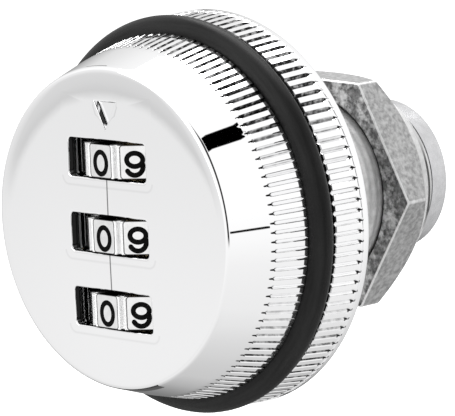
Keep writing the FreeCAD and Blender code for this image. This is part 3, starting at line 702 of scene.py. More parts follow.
class Steps:
    """Arithmetic on the sockets of one node tree."""

    def __init__(self, tree):
        self.nodes = tree.nodes
        self.links = tree.links

    def feed(self, socket, value):
        """A number as the socket's own value, or a link from another socket."""
        if isinstance(value, (int, float)):
            socket.default_value = value
        else:
            self.links.new(value, socket)

    def add(self, kind, inputs, **settings):
        """A node with its settings and its inputs, by name or number."""
        node = self.nodes.new(kind)
        for name, value in settings.items():
            setattr(node, name, value)
        for name, value in inputs.items():
            self.feed(node.inputs[name], value)
        return node

    def math(self, operation, *values):
        """One arithmetic step on sockets or numbers."""
        return self.add("ShaderNodeMath", dict(enumerate(values)), operation=operation).outputs[0]

    def minus(self, first, second):
        """The difference of two values."""
        return self.math("SUBTRACT", first, second)

    def size_of(self, value):
        """A value without its sign."""
        return self.math("ABSOLUTE", value)

    def chain(self, operation, first, *others):
        """One operation carried over all values."""
        for other in others:
            first = self.math(operation, first, other)
        return first

    def total(self, *values):
        """The sum of values."""
        return self.chain("ADD", *values)

    def both(self, *masks):
        """The product of masks."""
        return self.chain("MULTIPLY", *masks)

    def most(self, *masks):
        """The largest of masks."""
        return self.chain("MAXIMUM", *masks)

    def over(self, value, limit):
        """A mask that is one where a value is above a limit."""
        return self.math("GREATER_THAN", value, limit)

    def under(self, value, limit):
        """A mask that is one where a value is below a limit."""
        return self.math("LESS_THAN", value, limit)

    def within(self, value, low, high):
        """A mask that is one where a value lies between two limits."""
        return self.both(self.over(value, low), self.under(value, high))

    def squares(self, first, second):
        """The sum of two squares."""
        return self.total(self.both(first, first), self.both(second, second))

    def radius(self, first, second):
        """The length of two sides at a right angle."""
        return self.math("SQRT", self.squares(first, second))

    def level(self, z):
        """The height above the middle of the nearest dial."""
        return self.math("WRAP", self.minus(z, DIAL_PLACES[1].z), DIAL_PITCH / 2, -DIAL_PITCH / 2)

    def split(self, vector):
        """The three coordinates of a vector."""
        return self.add("ShaderNodeSeparateXYZ", {0: vector}).outputs

    def ramp(self, source, low, high, start, end, kind="LINEAR"):
        """A value carried evenly, or softly, from one range to another."""
        inputs = {"Value": source, "From Min": low, "From Max": high, "To Min": start, "To Max": end}
        return self.add("ShaderNodeMapRange", inputs, interpolation_type=kind).outputs["Result"]

    def grown(self, source, limits):
        """A mask that grows from zero to one between two limits."""
        return self.ramp(source, *limits, 0.0, 1.0)


def new_group(name, inputs, outputs):
    """A node group with named sockets, which carry numbers except for Vector and Normal: the group,
    the steps in it, and the sockets inside it where its inputs come in and its outputs go out."""
    group = bpy.data.node_groups.new(name, "ShaderNodeTree")
    for way, sockets in (("INPUT", inputs), ("OUTPUT", outputs)):
        for socket in sockets:
            kind = "NodeSocketVector" if socket in ("Vector", "Normal") else "NodeSocketFloat"
            group.interface.new_socket(socket, in_out=way, socket_type=kind)
    steps = Steps(group)
    entry = steps.nodes.new("NodeGroupInput").outputs
    return group, steps, entry, steps.nodes.new("NodeGroupOutput").inputs


def mottling_group(name):
    """A mask of soft uneven blotches, from Low to High, for castings, rubber and plating."""
    group, steps, entry, out = new_group(name, ("Vector", "Scale", "Low", "High"), ("Value",))
    look = {"Vector": entry["Vector"], "Scale": entry["Scale"], "Detail": 4.0, "Roughness": 0.6}
    noise = steps.add("ShaderNodeTexNoise", look).outputs["Fac"]
    steps.feed(out["Value"], steps.ramp(noise, 0.36, 0.64, entry["Low"], entry["High"]))
    return group


def relief_group(name):
    """A normal bent by fine noise, for the skin of castings, rubber and plating."""
    group, steps, entry, out = new_group(name, ("Vector", "Scale", "Strength", "Depth"), ("Normal",))
    look = {"Vector": entry["Vector"], "Scale": entry["Scale"], "Detail": 3.0}
    noise = steps.add("ShaderNodeTexNoise", look).outputs["Fac"]
    bend = {"Strength": entry["Strength"], "Distance": entry["Depth"], "Height": noise}
    steps.feed(out["Normal"], steps.add("ShaderNodeBump", bend).outputs["Normal"])
    return group


GROOVE_INPUTS = ("Front", "Back", "Front Radius", "Back Radius", "Depth", "Run From", "Run To")

# Where painted shade darkens the grooves. Heights are shares of the radius, from -1 under the axis to 1 over
# it, and depths are shares of a groove's depth: the heights over which the painted shade spreads up the walls
# and over which it comes in, each above and below, then the depths and tone of the roots, edges and run-out
# ends
STEEP_ABOVE = (0.5, 0.75)
STEEP_BELOW = (-0.6, -0.2)
DARK_ABOVE = (0.3, 0.65)
DARK_BELOW = (-0.7, -0.3)
ROOT_DEPTHS = (0.55, 0.85)
EDGE_DEPTHS = (0.03, 0.3)
EDGE_TONE = 0.45
END_DEPTHS = (0.02, 0.08)
END_RUN = (0.15, 0.3)


def groove_group(name):
    """How deep a point lies in a knurl's groove, from 0 at the ridge to 1 at the root, how near it is to
    the edge where the grooves run out, and how high it stands, from -1 below the axis to 1 above. The
    ridge's radius grows evenly from the front edge to the back edge of the band."""
    group, steps, entry, out = new_group(name, ("Vector", *GROOVE_INPUTS), ("Value", "Run", "Upright"))
    x, y, z = steps.split(entry["Vector"])
    radius = steps.radius(x, z)
    tip = steps.ramp(y, entry["Front"], entry["Back"], entry["Front Radius"], entry["Back Radius"])
    depth = steps.math("DIVIDE", steps.minus(tip, radius), entry["Depth"])
    in_band = steps.both(steps.within(y, entry["Front"], entry["Back"]), steps.under(depth, 1.3))
    steps.feed(out["Value"], steps.both(depth, in_band))
    steps.feed(out["Run"], steps.ramp(y, entry["Run From"], entry["Run To"], 1.0, 0.0))
    steps.feed(out["Upright"], steps.math("DIVIDE", z, radius))
    return group


def frame_distance_group(name):
    """How far a point lies outside a rectangle round the middle, and zero inside it. Past a corner it is
    the distance from that corner."""
    group, steps, entry, out = new_group(name, ("X", "Z", "Half Width", "Half Height"), ("Value",))
    past = [
        steps.most(steps.minus(steps.size_of(entry[place]), entry[half]), 0.0)
        for place, half in (("X", "Half Width"), ("Z", "Half Height"))
    ]
    steps.feed(out["Value"], steps.radius(*past))
    return group


def shade(base, factor):
    """A colour made darker or lighter."""
    return tuple(min(channel * factor, 1.0) for channel in base)


class Finish(Steps):
    """A material under construction: its shader and the object coordinates."""

    def __init__(self, name, base, metallic, roughness, specular=0.5):
        self.material = bpy.data.materials.new(name)
        self.material.use_nodes = True
        super().__init__(self.material.node_tree)
        self.shader = self.nodes["Principled BSDF"]
        self.shader.inputs["Base Color"].default_value = (*base, 1.0)
        self.shader.inputs["Metallic"].default_value = metallic
        self.shader.inputs["Roughness"].default_value = roughness
        self.shader.inputs["Specular IOR Level"].default_value = specular
        self.place = self.nodes.new("ShaderNodeTexCoord").outputs["Object"]

    def group(self, name, build, inputs):
        """A node group that finishes share, built when it is first used, with its own values."""
        node = self.nodes.new("ShaderNodeGroup")
        node.node_tree = bpy.data.node_groups.get(name) or build(name)
        for socket, value in inputs.items():
            self.feed(node.inputs[socket], value)
        return node.outputs

    def mottling(self, scale, low, high):
        """Soft uneven blotches between two values."""
        values = {"Vector": self.place, "Scale": scale, "Low": low, "High": high}
        return self.group("Mottling", mottling_group, values)["Value"]

    def relief(self, scale, strength, depth):
        """Fine relief on the shader's normal."""
        values = {"Vector": self.place, "Scale": scale, "Strength": strength, "Depth": depth}
        self.feed(self.shader.inputs["Normal"], self.group("Fine Relief", relief_group, values)["Normal"])

    def frame_distance(self, x, z, half_width, half_height):
        """How far a point lies outside a rectangle round the middle."""
        values = {"X": x, "Z": z, "Half Width": half_width, "Half Height": half_height}
        return self.group("Frame Distance", frame_distance_group, values)["Value"]

    def blend(self, mask, base, first, second):
        """The shader's colour, from the first share of a base colour to the second as the mask grows."""
        mix = self.add("ShaderNodeMix", {}, data_type="RGBA")
        mix.inputs["A"].default_value = (*shade(base, first), 1.0)
        mix.inputs["B"].default_value = (*shade(base, second), 1.0)
        self.feed(mix.inputs["Factor"], mask)
        self.feed(self.shader.inputs["Base Color"], mix.outputs["Result"])


def groove_shade_mask(finish, *values):
    """The painted shade of one knurled band, a little broken by noise: on the grooves' walls above, their
    roots below, thin lines along their edges at the sides, and everywhere the ends where they run out."""
    inputs = {"Vector": finish.place, **dict(zip(GROOVE_INPUTS, values))}
    depth, run, upright = finish.group("Groove Depth", groove_group, inputs)
    broken = finish.mottling(1400.0, 0.6, 1.3)
    above = finish.ramp(upright, *STEEP_ABOVE, 1.0, 12.0)
    below = finish.ramp(upright, *STEEP_BELOW, 1.2, 0.0)
    steep = finish.both(depth, finish.total(above, below))
    share = finish.most(finish.grown(upright, DARK_ABOVE), finish.ramp(upright, *DARK_BELOW, 1.0, 0.0))
    roots = finish.both(finish.grown(steep, ROOT_DEPTHS), share, broken)
    edges = finish.both(finish.within(depth, *EDGE_DEPTHS), finish.minus(1.0, share), broken, EDGE_TONE)
    ends = finish.both(finish.grown(depth, END_DEPTHS), finish.grown(run, END_RUN))
    return finish.most(roots, edges, ends)


def face_chrome(size, colours):
    """Bright plating of the front shell. Painted shade darkens the knurls' grooves, the windows' walls and
    the lower part of the triangle's left wall, and the engraved line between the windows is dark; a faint
    painted dark reflection line runs under each window."""
    finish = Finish("Face Chrome", colours.chrome, 1.0, 0.02)
    x, y, z = finish.split(finish.place)
    crown = finish.ramp(finish.squares(x, z), 0.0, crown_reach(size) ** 2, -size.face_crown, 0.0)
    depth = finish.minus(finish.minus(y, FACE_Y), crown)
    skin = finish.under(depth, SKIN)
    level = finish.level(z)
    foot = size.mark_top - size.mark_height - MARK_ROOM
    windows = finish.under(z, foot)
    half_width, half_height = size.window_width / 2, size.window_height / 2
    line = finish.both(
        finish.within(x, -size.line_width / 2, size.line_width / 2),
        finish.within(z, DIAL_PLACES[2].z, DIAL_PLACES[0].z),
        skin,
        LINE_TONE,
    )
    # Painted shade on the windows' walls.
    wall = finish.both(
        finish.within(x, -half_width - WALL_REACH, half_width + WALL_REACH),
        finish.within(depth, size.edge_round, size.face_wall * WALL_DARK),
        finish.over(level, WALL_REACH - half_height),
        windows,
    )
    # Painted dark reflection on the lower part of the triangle's left wall.
    mark = finish.both(
        finish.within(depth, *(size.mark_sink * share for share in MARK_DARK)),
        finish.within(x, -size.mark_width, 0.0),
        finish.over(z, foot),
    )
    # Painted dark reflection: a faint line under each window, at a set distance from it.
    past = finish.frame_distance(x, level, half_width, half_height)
    swell_shade = finish.both(
        finish.ramp(finish.size_of(finish.minus(past, SWELL_SHADE_REACH)), 0.0, SWELL_SHADE_SOFT, SWELL_SHADE_TONE, 0.0),
        finish.under(level, -half_height),
        skin,
        windows,
    )
    front = FACE_Y + size.cone_depth
    # Painted shade in the grooves between the front knurls.
    grooves = groove_shade_mask(
        finish, front, FACE_Y + size.front_grip_depth, size.cone_radius, size.front_grip_radius,
        size.tooth_depth, front, front + size.run_in,
    )
    # Everything in this mask but the engraved line is painted shade or painted dark reflection.
    finish.blend(finish.most(line, wall, mark, grooves, swell_shade), colours.chrome, 1.0, SHADE_AND_LINE_TONE)
    finish.relief(260.0, 0.05, 0.00002)
    return finish.material


def knurl_chrome(size, colours):
    """Bright plating of the rear ring, with painted shade in the grooves between the knurls."""
    finish = Finish("Knurl Chrome", colours.chrome, 1.0, 0.05)
    lip = FACE_Y + size.head_depth - size.rear_lip
    share = 1 - size.rear_lip / (size.head_depth - size.skirt_depth)
    start = size.rear_grip_front_radius
    # Painted shade in the grooves between the rear knurls.
    grooves = groove_shade_mask(
        finish, FACE_Y + size.skirt_depth, lip, start, start + (size.rear_grip_radius - start) * share,
        size.tooth_depth, lip, lip - size.run_in * REAR_RUN_IN,
    )
    finish.blend(grooves, colours.chrome, 1.0, SHADE_AND_LINE_TONE)
    finish.relief(3000.0, 0.1, 0.000015)
    return finish.material


def dial_chrome(size, colours):
    """Plating of the number dials. Each face carries a polished pad with a thin line of painted shade round
    its edge, the metal between the pads is dull, and painted shade darkens the dials' ends. Across a face,
    the distance from its middle is the flat radius times the tangent of the angle from it."""
    finish = Finish("Dial Plating", colours.dial, 1.0, 0.12)
    x, y, z = finish.split(finish.place)
    turn = finish.math("ARCTAN2", x, finish.minus(DIAL_PLACES[0].y, y))
    part = finish.math("WRAP", turn, FACE_TURN / 2, -FACE_TURN / 2)
    across = finish.both(finish.math("TANGENT", part), size.dial_flat_radius)
    level = finish.level(z)
    corner = size.pad_corner
    past = finish.frame_distance(across, level, size.pad_width / 2 - corner, size.pad_height / 2 - corner)
    past = finish.minus(past, corner)
    # Painted shade: a thin line round each pad's edge and the dials' ends; the faint blotches are the
    # plating's own.
    dark = finish.most(
        finish.both(finish.within(past, 0.0, size.pad_border), PAD_SHADE_TONE),
        finish.mottling(1500.0, 0.0, 0.1),
        finish.over(finish.size_of(level), size.dial_height / 2 - DIAL_END),
    )
    finish.blend(dark, colours.dial, 1.0, 0.03)
    dull = finish.over(past, size.pad_border)
    finish.feed(finish.shader.inputs["Metallic"], finish.ramp(dull, 0.0, 1.0, 1.0, 0.1))
    finish.feed(finish.shader.inputs["Roughness"], finish.ramp(dull, 0.0, 1.0, 0.12, 0.5))
    finish.relief(2500.0, 0.15, 0.00002)
    return finish.material


def ring_rubber(colours):
    """Black rubber. Its roughness varies in streaks that run round the ring, and a painted sheen lightens its
    colour in the same kind of streaks: noise over the angle, stretched ten times as long as it is wide."""
    finish = Finish("Grip Rubber", colours.rubber, 0.0, 0.4, 0.12)
    x, y, z = finish.split(finish.place)
    turn = finish.both(finish.math("ARCTAN2", x, z), RING_HIGH.x * 0.1)
    place = {0: turn, 1: finish.radius(x, z), 2: y}
    finish.place = finish.add("ShaderNodeCombineXYZ", place).outputs[0]
    finish.feed(finish.shader.inputs["Roughness"], finish.mottling(900.0, 0.3, 0.5))
    # Painted sheen: lighter streaks in the rubber's colour.
    finish.blend(finish.mottling(1300.0, 0.0, 1.0), colours.rubber, 1.0, 1.8)
    finish.relief(1800.0, 0.35, 0.00004)
    return finish.material


def cast_metal(name, base, dark, light, scale, roughness, relief):
    """Cast or plated metal with blotches between a darker and a lighter tone."""
    finish = Finish(name, base, 1.0, roughness)
    finish.blend(finish.mottling(scale, 0.0, 1.0), base, dark, light)
    finish.relief(scale * 2, relief, 0.00003)
    return finish.material


def nut_metal(size, colours):
    """Dull cast nut with light specks on its rough front and back faces, and painted light and shade: those
    faces painted darker than the flats, painted highlights on the edges and corners, and painted shade at the
    edge of the bore."""
    finish = Finish("Nut Casting", colours.nut, 1.0, 0.38)
    x, y, z = finish.split(finish.place)
    middle, half = (NUT_HIGH.y + NUT_LOW.y) / 2, (NUT_HIGH.y - NUT_LOW.y) / 2
    off = finish.minus(half, finish.size_of(finish.minus(y, middle)))
    edge = size.nut_edge
    radius = finish.radius(x, z)
    front = finish.ramp(off, edge * 0.02, edge * 0.1, 1.0, 0.0)
    specks = finish.ramp(finish.mottling(1100.0, 0.0, 1.0), 0.4, 1.0, 0.24, 0.85)
    # Painted light and shade: the front and back faces are painted darker than the flats, and a painted
    # highlight runs along the edges and at the corners; the specks and blotches are the casting's own.
    tone = finish.total(
        finish.ramp(off, edge * 0.02, edge * 0.1, 0.0, 0.49),
        finish.both(finish.within(off, edge * 0.05, edge * 1.1), 0.5),
        finish.ramp(radius, NUT_FLAT * NUT_HIGHLIGHT[0], NUT_FLAT * NUT_HIGHLIGHT[1], 0.0, 0.3),
        finish.both(specks, front),
        finish.mottling(2000.0, -0.15, 0.15),
    )
    # Painted shade: everything near the bore goes dark.
    tone = finish.both(tone, finish.over(radius, NUT_BORE + NUT_RIM * 1.5))
    finish.blend(tone, colours.nut, 0.1, 2.6)
    finish.relief(2600.0, 0.6, 0.00005)
    return finish.material


def barrel_metal(colours):
    """Plated casting, with painted shade of the gap at the barrel's end, which fades above and below."""
    finish = Finish("Barrel Zinc", colours.zinc, 0.3, 0.45)
    y, z = finish.split(finish.place)[1:]
    # Painted shade of the gap between the barrel's end and the washer, fading above and below the axis; the
    # blotches are the casting's own.
    gap = finish.both(
        finish.within(y, BARREL_HIGH.y - BARREL_GAP_SHADE, BARREL_HIGH.y),
        finish.ramp(finish.size_of(z), *GAP_SHADE_FADE, 0.95, 0.2),
    )
    dark = finish.most(gap, finish.mottling(1600.0, 0.0, 0.2))
    finish.blend(dark, colours.zinc, 1.05, 0.05)
    finish.relief(3200.0, 0.3, 0.00003)
    return finish.material


def number_ink(colours):
    """Black filling of the numbers."""
    finish = Finish("Number Ink", colours.ink, 0.0, 0.6, 0.0)
    finish.blend(finish.mottling(2500.0, 0.0, 1.0), colours.ink, 1.0, 2.0)
    return finish.material


# Operators, one for each piece or group


class LOCK_OT_head_shell(bpy.types.Operator):
    """Build the chrome front shell with its windows, mark and knurls"""

    bl_idname = "lock.head_shell"
    bl_label = "Head shell"

    def execute(self, context):
        size = context.scene.lock_sizes
        material = face_chrome(size, context.scene.lock_finish)
        new_piece("head_shell", head_grids(size), "head", "knob_shell", material, 30.0)
        return {"FINISHED"}


class LOCK_OT_rear_ring(bpy.types.Operator):
    """Build the knurled ring at the head's back"""

    bl_idname = "lock.rear_ring"
    bl_label = "Rear ring"

    def execute(self, context):
        size = context.scene.lock_sizes
        material = knurl_chrome(size, context.scene.lock_finish)
        grid = rear_ring_grid(size)
        new_piece("head_rear_ring", [grid], "head", "rear_ring", material, 30.0)
        return {"FINISHED"}


class LOCK_OT_grip_ring(bpy.types.Operator):
    """Build the rubber ring round the head"""

    bl_idname = "lock.grip_ring"
    bl_label = "Grip ring"

    def execute(self, context):
        across = (RING_HIGH.x - context.scene.lock_sizes.ring_floor_radius) / 2
        along = (RING_HIGH.y - RING_LOW.y) / 2
        grid = torus_grid(RING_HIGH.x - across, (RING_LOW.y + RING_HIGH.y) / 2, across, along)
        material = ring_rubber(context.scene.lock_finish)
        new_piece("rubber_ring", [grid], "head", "grip_ring", material)
        return {"FINISHED"}


class LOCK_OT_barrel(bpy.types.Operator):
    """Build the cast barrel with its thread"""

    bl_idname = "lock.barrel"
    bl_label = "Barrel"

    def execute(self, context):
        grid = barrel_grid(context.scene.lock_sizes)
        material = barrel_metal(context.scene.lock_finish)
        new_piece("threaded_barrel", [grid], "mounting", "barrel", material)
        return {"FINISHED"}


class LOCK_OT_nut(bpy.types.Operator):
    """Build the hexagon nut"""

    bl_idname = "lock.nut"
    bl_label = "Nut"

    def execute(self, context):
        size = context.scene.lock_sizes
        material = nut_metal(size, context.scene.lock_finish)
        new_piece("door_nut", [nut_grid(size)], "mounting", "hex_nut", material, 12.0)
        return {"FINISHED"}


class LOCK_OT_numbers(bpy.types.Operator):
    """Put the numbers on the dials' flat faces"""

    bl_idname = "lock.numbers"
    bl_label = "Numbers"

    def execute(self, context):
        size = context.scene.lock_sizes
        material = number_ink(context.scene.lock_finish)
        for body, place in zip(DIAL_BODIES, DIAL_PLACES):
            grids = []
            for number, strokes in enumerate(NUMBER_STROKES):
                turn = -math.pi / 2 - number * FACE_TURN
                out = np.array([math.cos(turn), math.sin(turn), 0.0])
                right = np.array([-math.sin(turn), math.cos(turn), 0.0])
                sides = np.stack([right, (0.0, 0.0, 1.0), out])
                spot = np.array(place) + out * size.dial_flat_radius
                spot[2] -= size.number_drop
                for layer, stroke in enumerate(strokes):
                    grid = stroke_grid(size, stroke, size.number_proud * (1 + LAYER_STEP * layer))
                    grids.append(spot + grid @ sides)
            new_piece(body + "_numbers", grids, body, None, material, 40.0)
        return {"FINISHED"}


class LOCK_OT_carried_parts(bpy.types.Operator):
    """Give the pieces that keep their own shape their finishes"""

    bl_idname = "lock.carried_parts"
    bl_label = "Dials, cam, screws and inner parts"

    def execute(self, context):
        colours = context.scene.lock_finish
        zinc = cast_metal("Plain Zinc", colours.zinc, 0.88, 1.1, 600.0, 0.34, 0.3)
        steel = cast_metal("Plated Steel", colours.steel, 0.92, 1.06, 900.0, 0.24, 0.15)
        spring = cast_metal("Spring Steel", shade(colours.steel, 0.8), 0.9, 1.1, 1200.0, 0.28, 0.1)
        brass = cast_metal("Turned Brass", colours.brass, 0.9, 1.1, 900.0, 0.25, 0.1)
        finishes = {
            dial_chrome(context.scene.lock_sizes, colours): ("dial_1", "dial_2", "dial_3"),
            zinc: ("dial_carrier", "drive_shaft", "stop_washer"),
            steel: (
                "cam", "cam_screw", "ring_screws", "dial_spindle", "lift_fork", "carrier_screws", "stop_pin",
            ),
            spring: ("wave_washer", "fence_springs", "detent_spring", "shaft_clip", "lock_washer"),
            brass: ("code_wheel_1", "code_wheel_2", "code_wheel_3", "fence"),
        }
        for material, names in finishes.items():
            for name in names:
                mesh = frame["nodes"][name].data
                mesh.materials.clear()
                mesh.materials.append(material)
        return {"FINISHED"}


# The studio

# Camera, from the photograph: angles in degrees, distances in face radii, focal length in pixels
VIEW_TURN = 44.64
VIEW_RISE = 9.09
VIEW_ROLL = -2.30
VIEW_DISTANCE = 25.707
VIEW_AIM_DEPTH = 0.8
VIEW_AIM_RIGHT = 0.1586
VIEW_AIM_UP = 0.0122
VIEW_FOCAL = 4095.1
VIEW_WIDTH = 455.0
SENSOR_WIDTH = 36.0

# The light on matte surfaces, the floor's own glow, its drop under the lock and half its side
EVEN_LIGHT = 0.75
FLOOR_GLOW = 0.4
FLOOR_DROP = 0.1
FLOOR_HALF = 1.5

# What the chrome mirrors: directions in degrees round and up, and tones along a value from 0 to 1
DARK_LOBE = (-132.0, -20.0)
LOBE_TONES = ((0.0, 1.0), (0.17, 1.0), (0.5, 0.88), (0.777, 0.72), (0.899, 0.5), (0.985, 0.27), (1.0, 0.22))
SKY_TONES = ((0.0, 0.76), (0.035, 0.8), (0.12, 0.9), (0.3, 0.95), (0.42, 1.03), (0.6, 1.1), (1.0, 1.1))
FACE_MIRRORS = (-46.0, -11.0)
FACE_GLOW = (-48.0, -9.0)
GLOW_RISE = (-14.5, -5.0)
HAZE_WIDTH = 10.0
HAZE_RISE = (-9.0, -6.5)
HAZE_TONES = ((0.0, 0.0), (0.6, 0.0), (0.632, 1.0), (0.66, 0.75), (0.72, 0.5), (0.9, 0.0))

# Its cards: direction, width and height, soft edge, all in degrees, and tone
CARDS = (
    (109.0, 51.6, 14.0, 9.0, 0.3, 0.0),
    (100.0, -3.4, 10.0, 1.3, 0.3, 0.0),
    (56.0, 24.0, 36.0, 66.0, 3.0, 0.04),
)


def sine(angle):
    """The sine of an angle in degrees."""
    return math.sin(math.radians(angle))


def direction(turn, rise):
    """The direction at an angle round from the front towards the right, and up."""
    turn, rise = math.radians(turn), math.radians(rise)
    return Vector((math.sin(turn) * math.cos(rise), -math.cos(turn) * math.cos(rise), math.sin(rise)))


class Studio(Steps):
    """The world's nodes: what mirrors see, built from soft and hard cards on a white ground."""

    def __init__(self, tree):
        super().__init__(tree)
        self.view = self.nodes.new("ShaderNodeTexCoord").outputs["Generated"]

    def dot(self, way):
        """How near each direction lies to a given one."""
        node = self.add("ShaderNodeVectorMath", {0: self.view}, operation="DOT_PRODUCT")
        node.inputs[1].default_value = way
        return node.outputs["Value"]

    def soft(self, source, low, high, start, end):
        """A soft step from one tone to another between two limits."""
        return self.ramp(source, low, high, start, end, "SMOOTHSTEP")

    def tones(self, source, stops):
        """Tones along a value from 0 to 1."""
        node = self.add("ShaderNodeValToRGB", {"Fac": source})
        elements = node.color_ramp.elements
        while len(elements) < len(stops):
            elements.new(0.5)
        for element, (place, tone) in zip(elements, stops):
            element.position = place
            element.color = (tone, tone, tone, 1.0)
        return node.outputs["Color"]

    def card(self, turn, rise, width, height, soft, tone):
        """A rectangular card: its own tone inside, one outside, with a soft edge. Its sides are angles
        round and up from its middle."""
        middle = direction(turn, rise)
        side = direction(turn + 90.0, 0.0)
        across = self.size_of(self.dot(side))
        upward = self.size_of(self.dot(middle.cross(side)))
        wide, tall, edge = sine(width / 2), sine(height / 2), sine(soft)
        inside = self.both(
            self.soft(across, wide - edge, wide + edge, 1.0, 0.0),
            self.soft(upward, tall - edge, tall + edge, 1.0 - tone, 0.0),
            self.soft(self.dot(middle), 0.0, 0.1, 0.0, 1.0),
        )
        return self.minus(1.0, inside)

    def face_haze(self, up):
        """The darker haze that the face's upper rim mirrors: a ring of directions round the one that the
        face's middle mirrors, in its upper half only."""
        near = self.dot(direction(*FACE_MIRRORS))
        degrees = self.math("DEGREES", self.math("ARCCOSINE", near))
        haze = self.tones(self.math("DIVIDE", degrees, HAZE_WIDTH), HAZE_TONES)
        return self.minus(1.0, self.both(haze, self.soft(up, *map(sine, HAZE_RISE), 0.0, 0.24)))

    def mirrored(self):
        """The tone that mirrors see in each direction."""
        up = self.dot(Vector((0.0, 0.0, 1.0)))
        glow = self.soft(up, *map(sine, GLOW_RISE), 0.93, 0.83)
        return self.both(
            self.tones(self.total(self.both(up, 0.5), 0.5), SKY_TONES),
            self.tones(self.dot(direction(*DARK_LOBE)), LOBE_TONES),
            self.soft(self.dot(direction(*FACE_GLOW)), 0.8, 0.96, 1.0, glow),
            self.face_haze(up),
            *(self.card(*card) for card in CARDS),
        )


def choice(steps, mask, first, second):
    """The first shader where a mask is zero, and the second where it is one."""
    return steps.add("ShaderNodeMixShader", {0: mask, 1: first, 2: second}).outputs[0]


def build_world(scene):
    """White for the camera, even light for matte surfaces, and the studio's cards for mirrors."""
    world = bpy.data.worlds.new("Studio")
    scene.world = world
    world.use_nodes = True
    world.node_tree.nodes.clear()
    studio = Studio(world.node_tree)
    mirror = studio.add("ShaderNodeBackground", {"Color": studio.mirrored()})
    even = studio.add("ShaderNodeBackground", {"Strength": EVEN_LIGHT})
    even.inputs["Color"].default_value = (1.0, 1.0, 1.0, 1.0)
    white = studio.add("ShaderNodeBackground", {})
    white.inputs["Color"].default_value = (*scene.lock_finish.backdrop, 1.0)
    path = studio.add("ShaderNodeLightPath", {}).outputs
    lit = choice(studio, path["Is Glossy Ray"], even.outputs[0], mirror.outputs[0])
    clear = studio.most(path["Is Camera Ray"], path["Is Transmission Ray"])
    studio.add("ShaderNodeOutputWorld", {"Surface": choice(studio, clear, lit, white.outputs[0])})


def build_floor(context):
    """A pale floor well below the lock, white to the camera, that still takes its shadow."""
    height = cad_box[0][2] - FLOOR_DROP
    signs = ((-1, -1), (1, -1), (1, 1), (-1, 1))
    corners = [(x * FLOOR_HALF, y * FLOOR_HALF, height) for x, y in signs]
    mesh = bpy.data.meshes.new("floor")
    mesh.from_pydata(corners, [], [(0, 1, 2, 3)])
    floor = bpy.data.objects.new("floor", mesh)
    context.collection.objects.link(floor)
    finish = Finish("Floor", context.scene.lock_finish.backdrop, 0.0, 0.9, 0.0)
    matte = finish.shader.outputs[0]
    glow = finish.add("ShaderNodeEmission", {"Strength": FLOOR_GLOW}).outputs[0]
    bright = finish.add("ShaderNodeAddShader", {0: matte, 1: glow}).outputs[0]
    path = finish.add("ShaderNodeLightPath", {}).outputs
    shown = choice(finish, path["Is Camera Ray"], matte, bright)
    finish.feed(finish.nodes["Material Output"].inputs["Surface"], shown)
    mesh.materials.append(finish.material)
    floor.visible_glossy = False


def build_lamp(context, name, place, reach, power):
    """A square soft lamp that looks at the lock."""
    lamp = bpy.data.lights.new(name, "AREA")
    lamp.shape = "SQUARE"
    lamp.size = reach
    lamp.energy = power
    holder = bpy.data.objects.new(name, lamp)
    holder.location = place
    holder.rotation_euler = Vector(place).to_track_quat("Z", "Y").to_euler()
    context.collection.objects.link(holder)


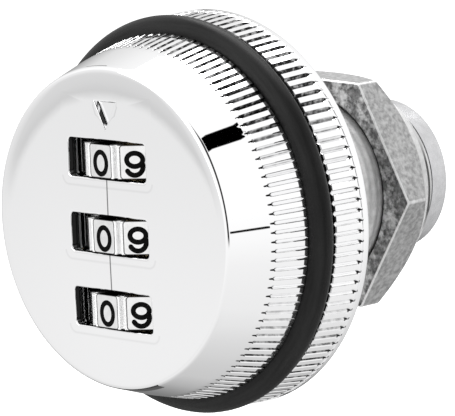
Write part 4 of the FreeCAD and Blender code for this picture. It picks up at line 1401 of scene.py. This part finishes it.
def build_camera(context, unit):
    """The camera at the photograph's angle."""
    back = direction(VIEW_TURN, VIEW_RISE)
    right = direction(VIEW_TURN + 90.0, 0.0)
    roll = math.radians(VIEW_ROLL)
    up = back.cross(right)
    aim = Vector((0.0, FACE_Y + VIEW_AIM_DEPTH * unit, 0.0))
    place = aim + (right * VIEW_AIM_RIGHT + up * VIEW_AIM_UP + back * VIEW_DISTANCE) * unit
    level = right * math.cos(roll) + up * math.sin(roll)
    upward = up * math.cos(roll) - right * math.sin(roll)
    data = bpy.data.cameras.new("camera")
    data.sensor_fit = "HORIZONTAL"
    data.sensor_width = SENSOR_WIDTH
    data.lens = VIEW_FOCAL / VIEW_WIDTH * SENSOR_WIDTH
    data.clip_start = 0.01
    camera = bpy.data.objects.new("camera", data)
    camera.matrix_world = Matrix((level, upward, back)).transposed().to_4x4()
    camera.location = place
    context.collection.objects.link(camera)
    context.scene.camera = camera


class LOCK_OT_stage(bpy.types.Operator):
    """Set up the floor, the light and the camera"""

    bl_idname = "lock.stage"
    bl_label = "Stage"

    def execute(self, context):
        scene = context.scene
        build_world(scene)
        build_floor(context)
        build_lamp(context, "top_lamp", (-0.1, 0.15, 0.6), 0.5, 5.0)
        build_lamp(context, "front_lamp", (-0.2, -0.6, 0.3), 0.6, 2.0)
        build_camera(context, scene.lock_sizes.face_radius)
        scene.view_settings.view_transform = "Standard"
        return {"FINISHED"}


OPERATORS = (
    LOCK_OT_head_shell,
    LOCK_OT_rear_ring,
    LOCK_OT_grip_ring,
    LOCK_OT_barrel,
    LOCK_OT_nut,
    LOCK_OT_numbers,
    LOCK_OT_carried_parts,
    LOCK_OT_stage,
)


class LOCK_PT_panel(bpy.types.Panel):
    """The lock's pieces, in the 3D view's sidebar"""

    bl_idname = "LOCK_PT_panel"
    bl_label = "Combination Locker Lock"
    bl_space_type = "VIEW_3D"
    bl_region_type = "UI"
    bl_category = "Lock"

    def draw(self, context):
        column = self.layout.column()
        for operator in OPERATORS:
            column.operator(operator.bl_idname)


CLASSES = (LockSizes, LockFinish, *OPERATORS, LOCK_PT_panel)


def register():
    """Register the classes and the scene's properties."""
    for item in CLASSES:
        bpy.utils.register_class(item)
    bpy.types.Scene.lock_sizes = PointerProperty(type=LockSizes)
    bpy.types.Scene.lock_finish = PointerProperty(type=LockFinish)


def unregister():
    """Remove the scene's properties and the classes."""
    del bpy.types.Scene.lock_finish
    del bpy.types.Scene.lock_sizes
    for item in reversed(CLASSES):
        bpy.utils.unregister_class(item)


def main():
    """Build every piece and the stage."""
    register()
    bpy.ops.lock.head_shell()
    bpy.ops.lock.rear_ring()
    bpy.ops.lock.grip_ring()
    bpy.ops.lock.barrel()
    bpy.ops.lock.nut()
    bpy.ops.lock.numbers()
    bpy.ops.lock.carried_parts()
    bpy.ops.lock.stage()
    bpy.context.view_layer.update()


if __name__ == "__main__":
    main()
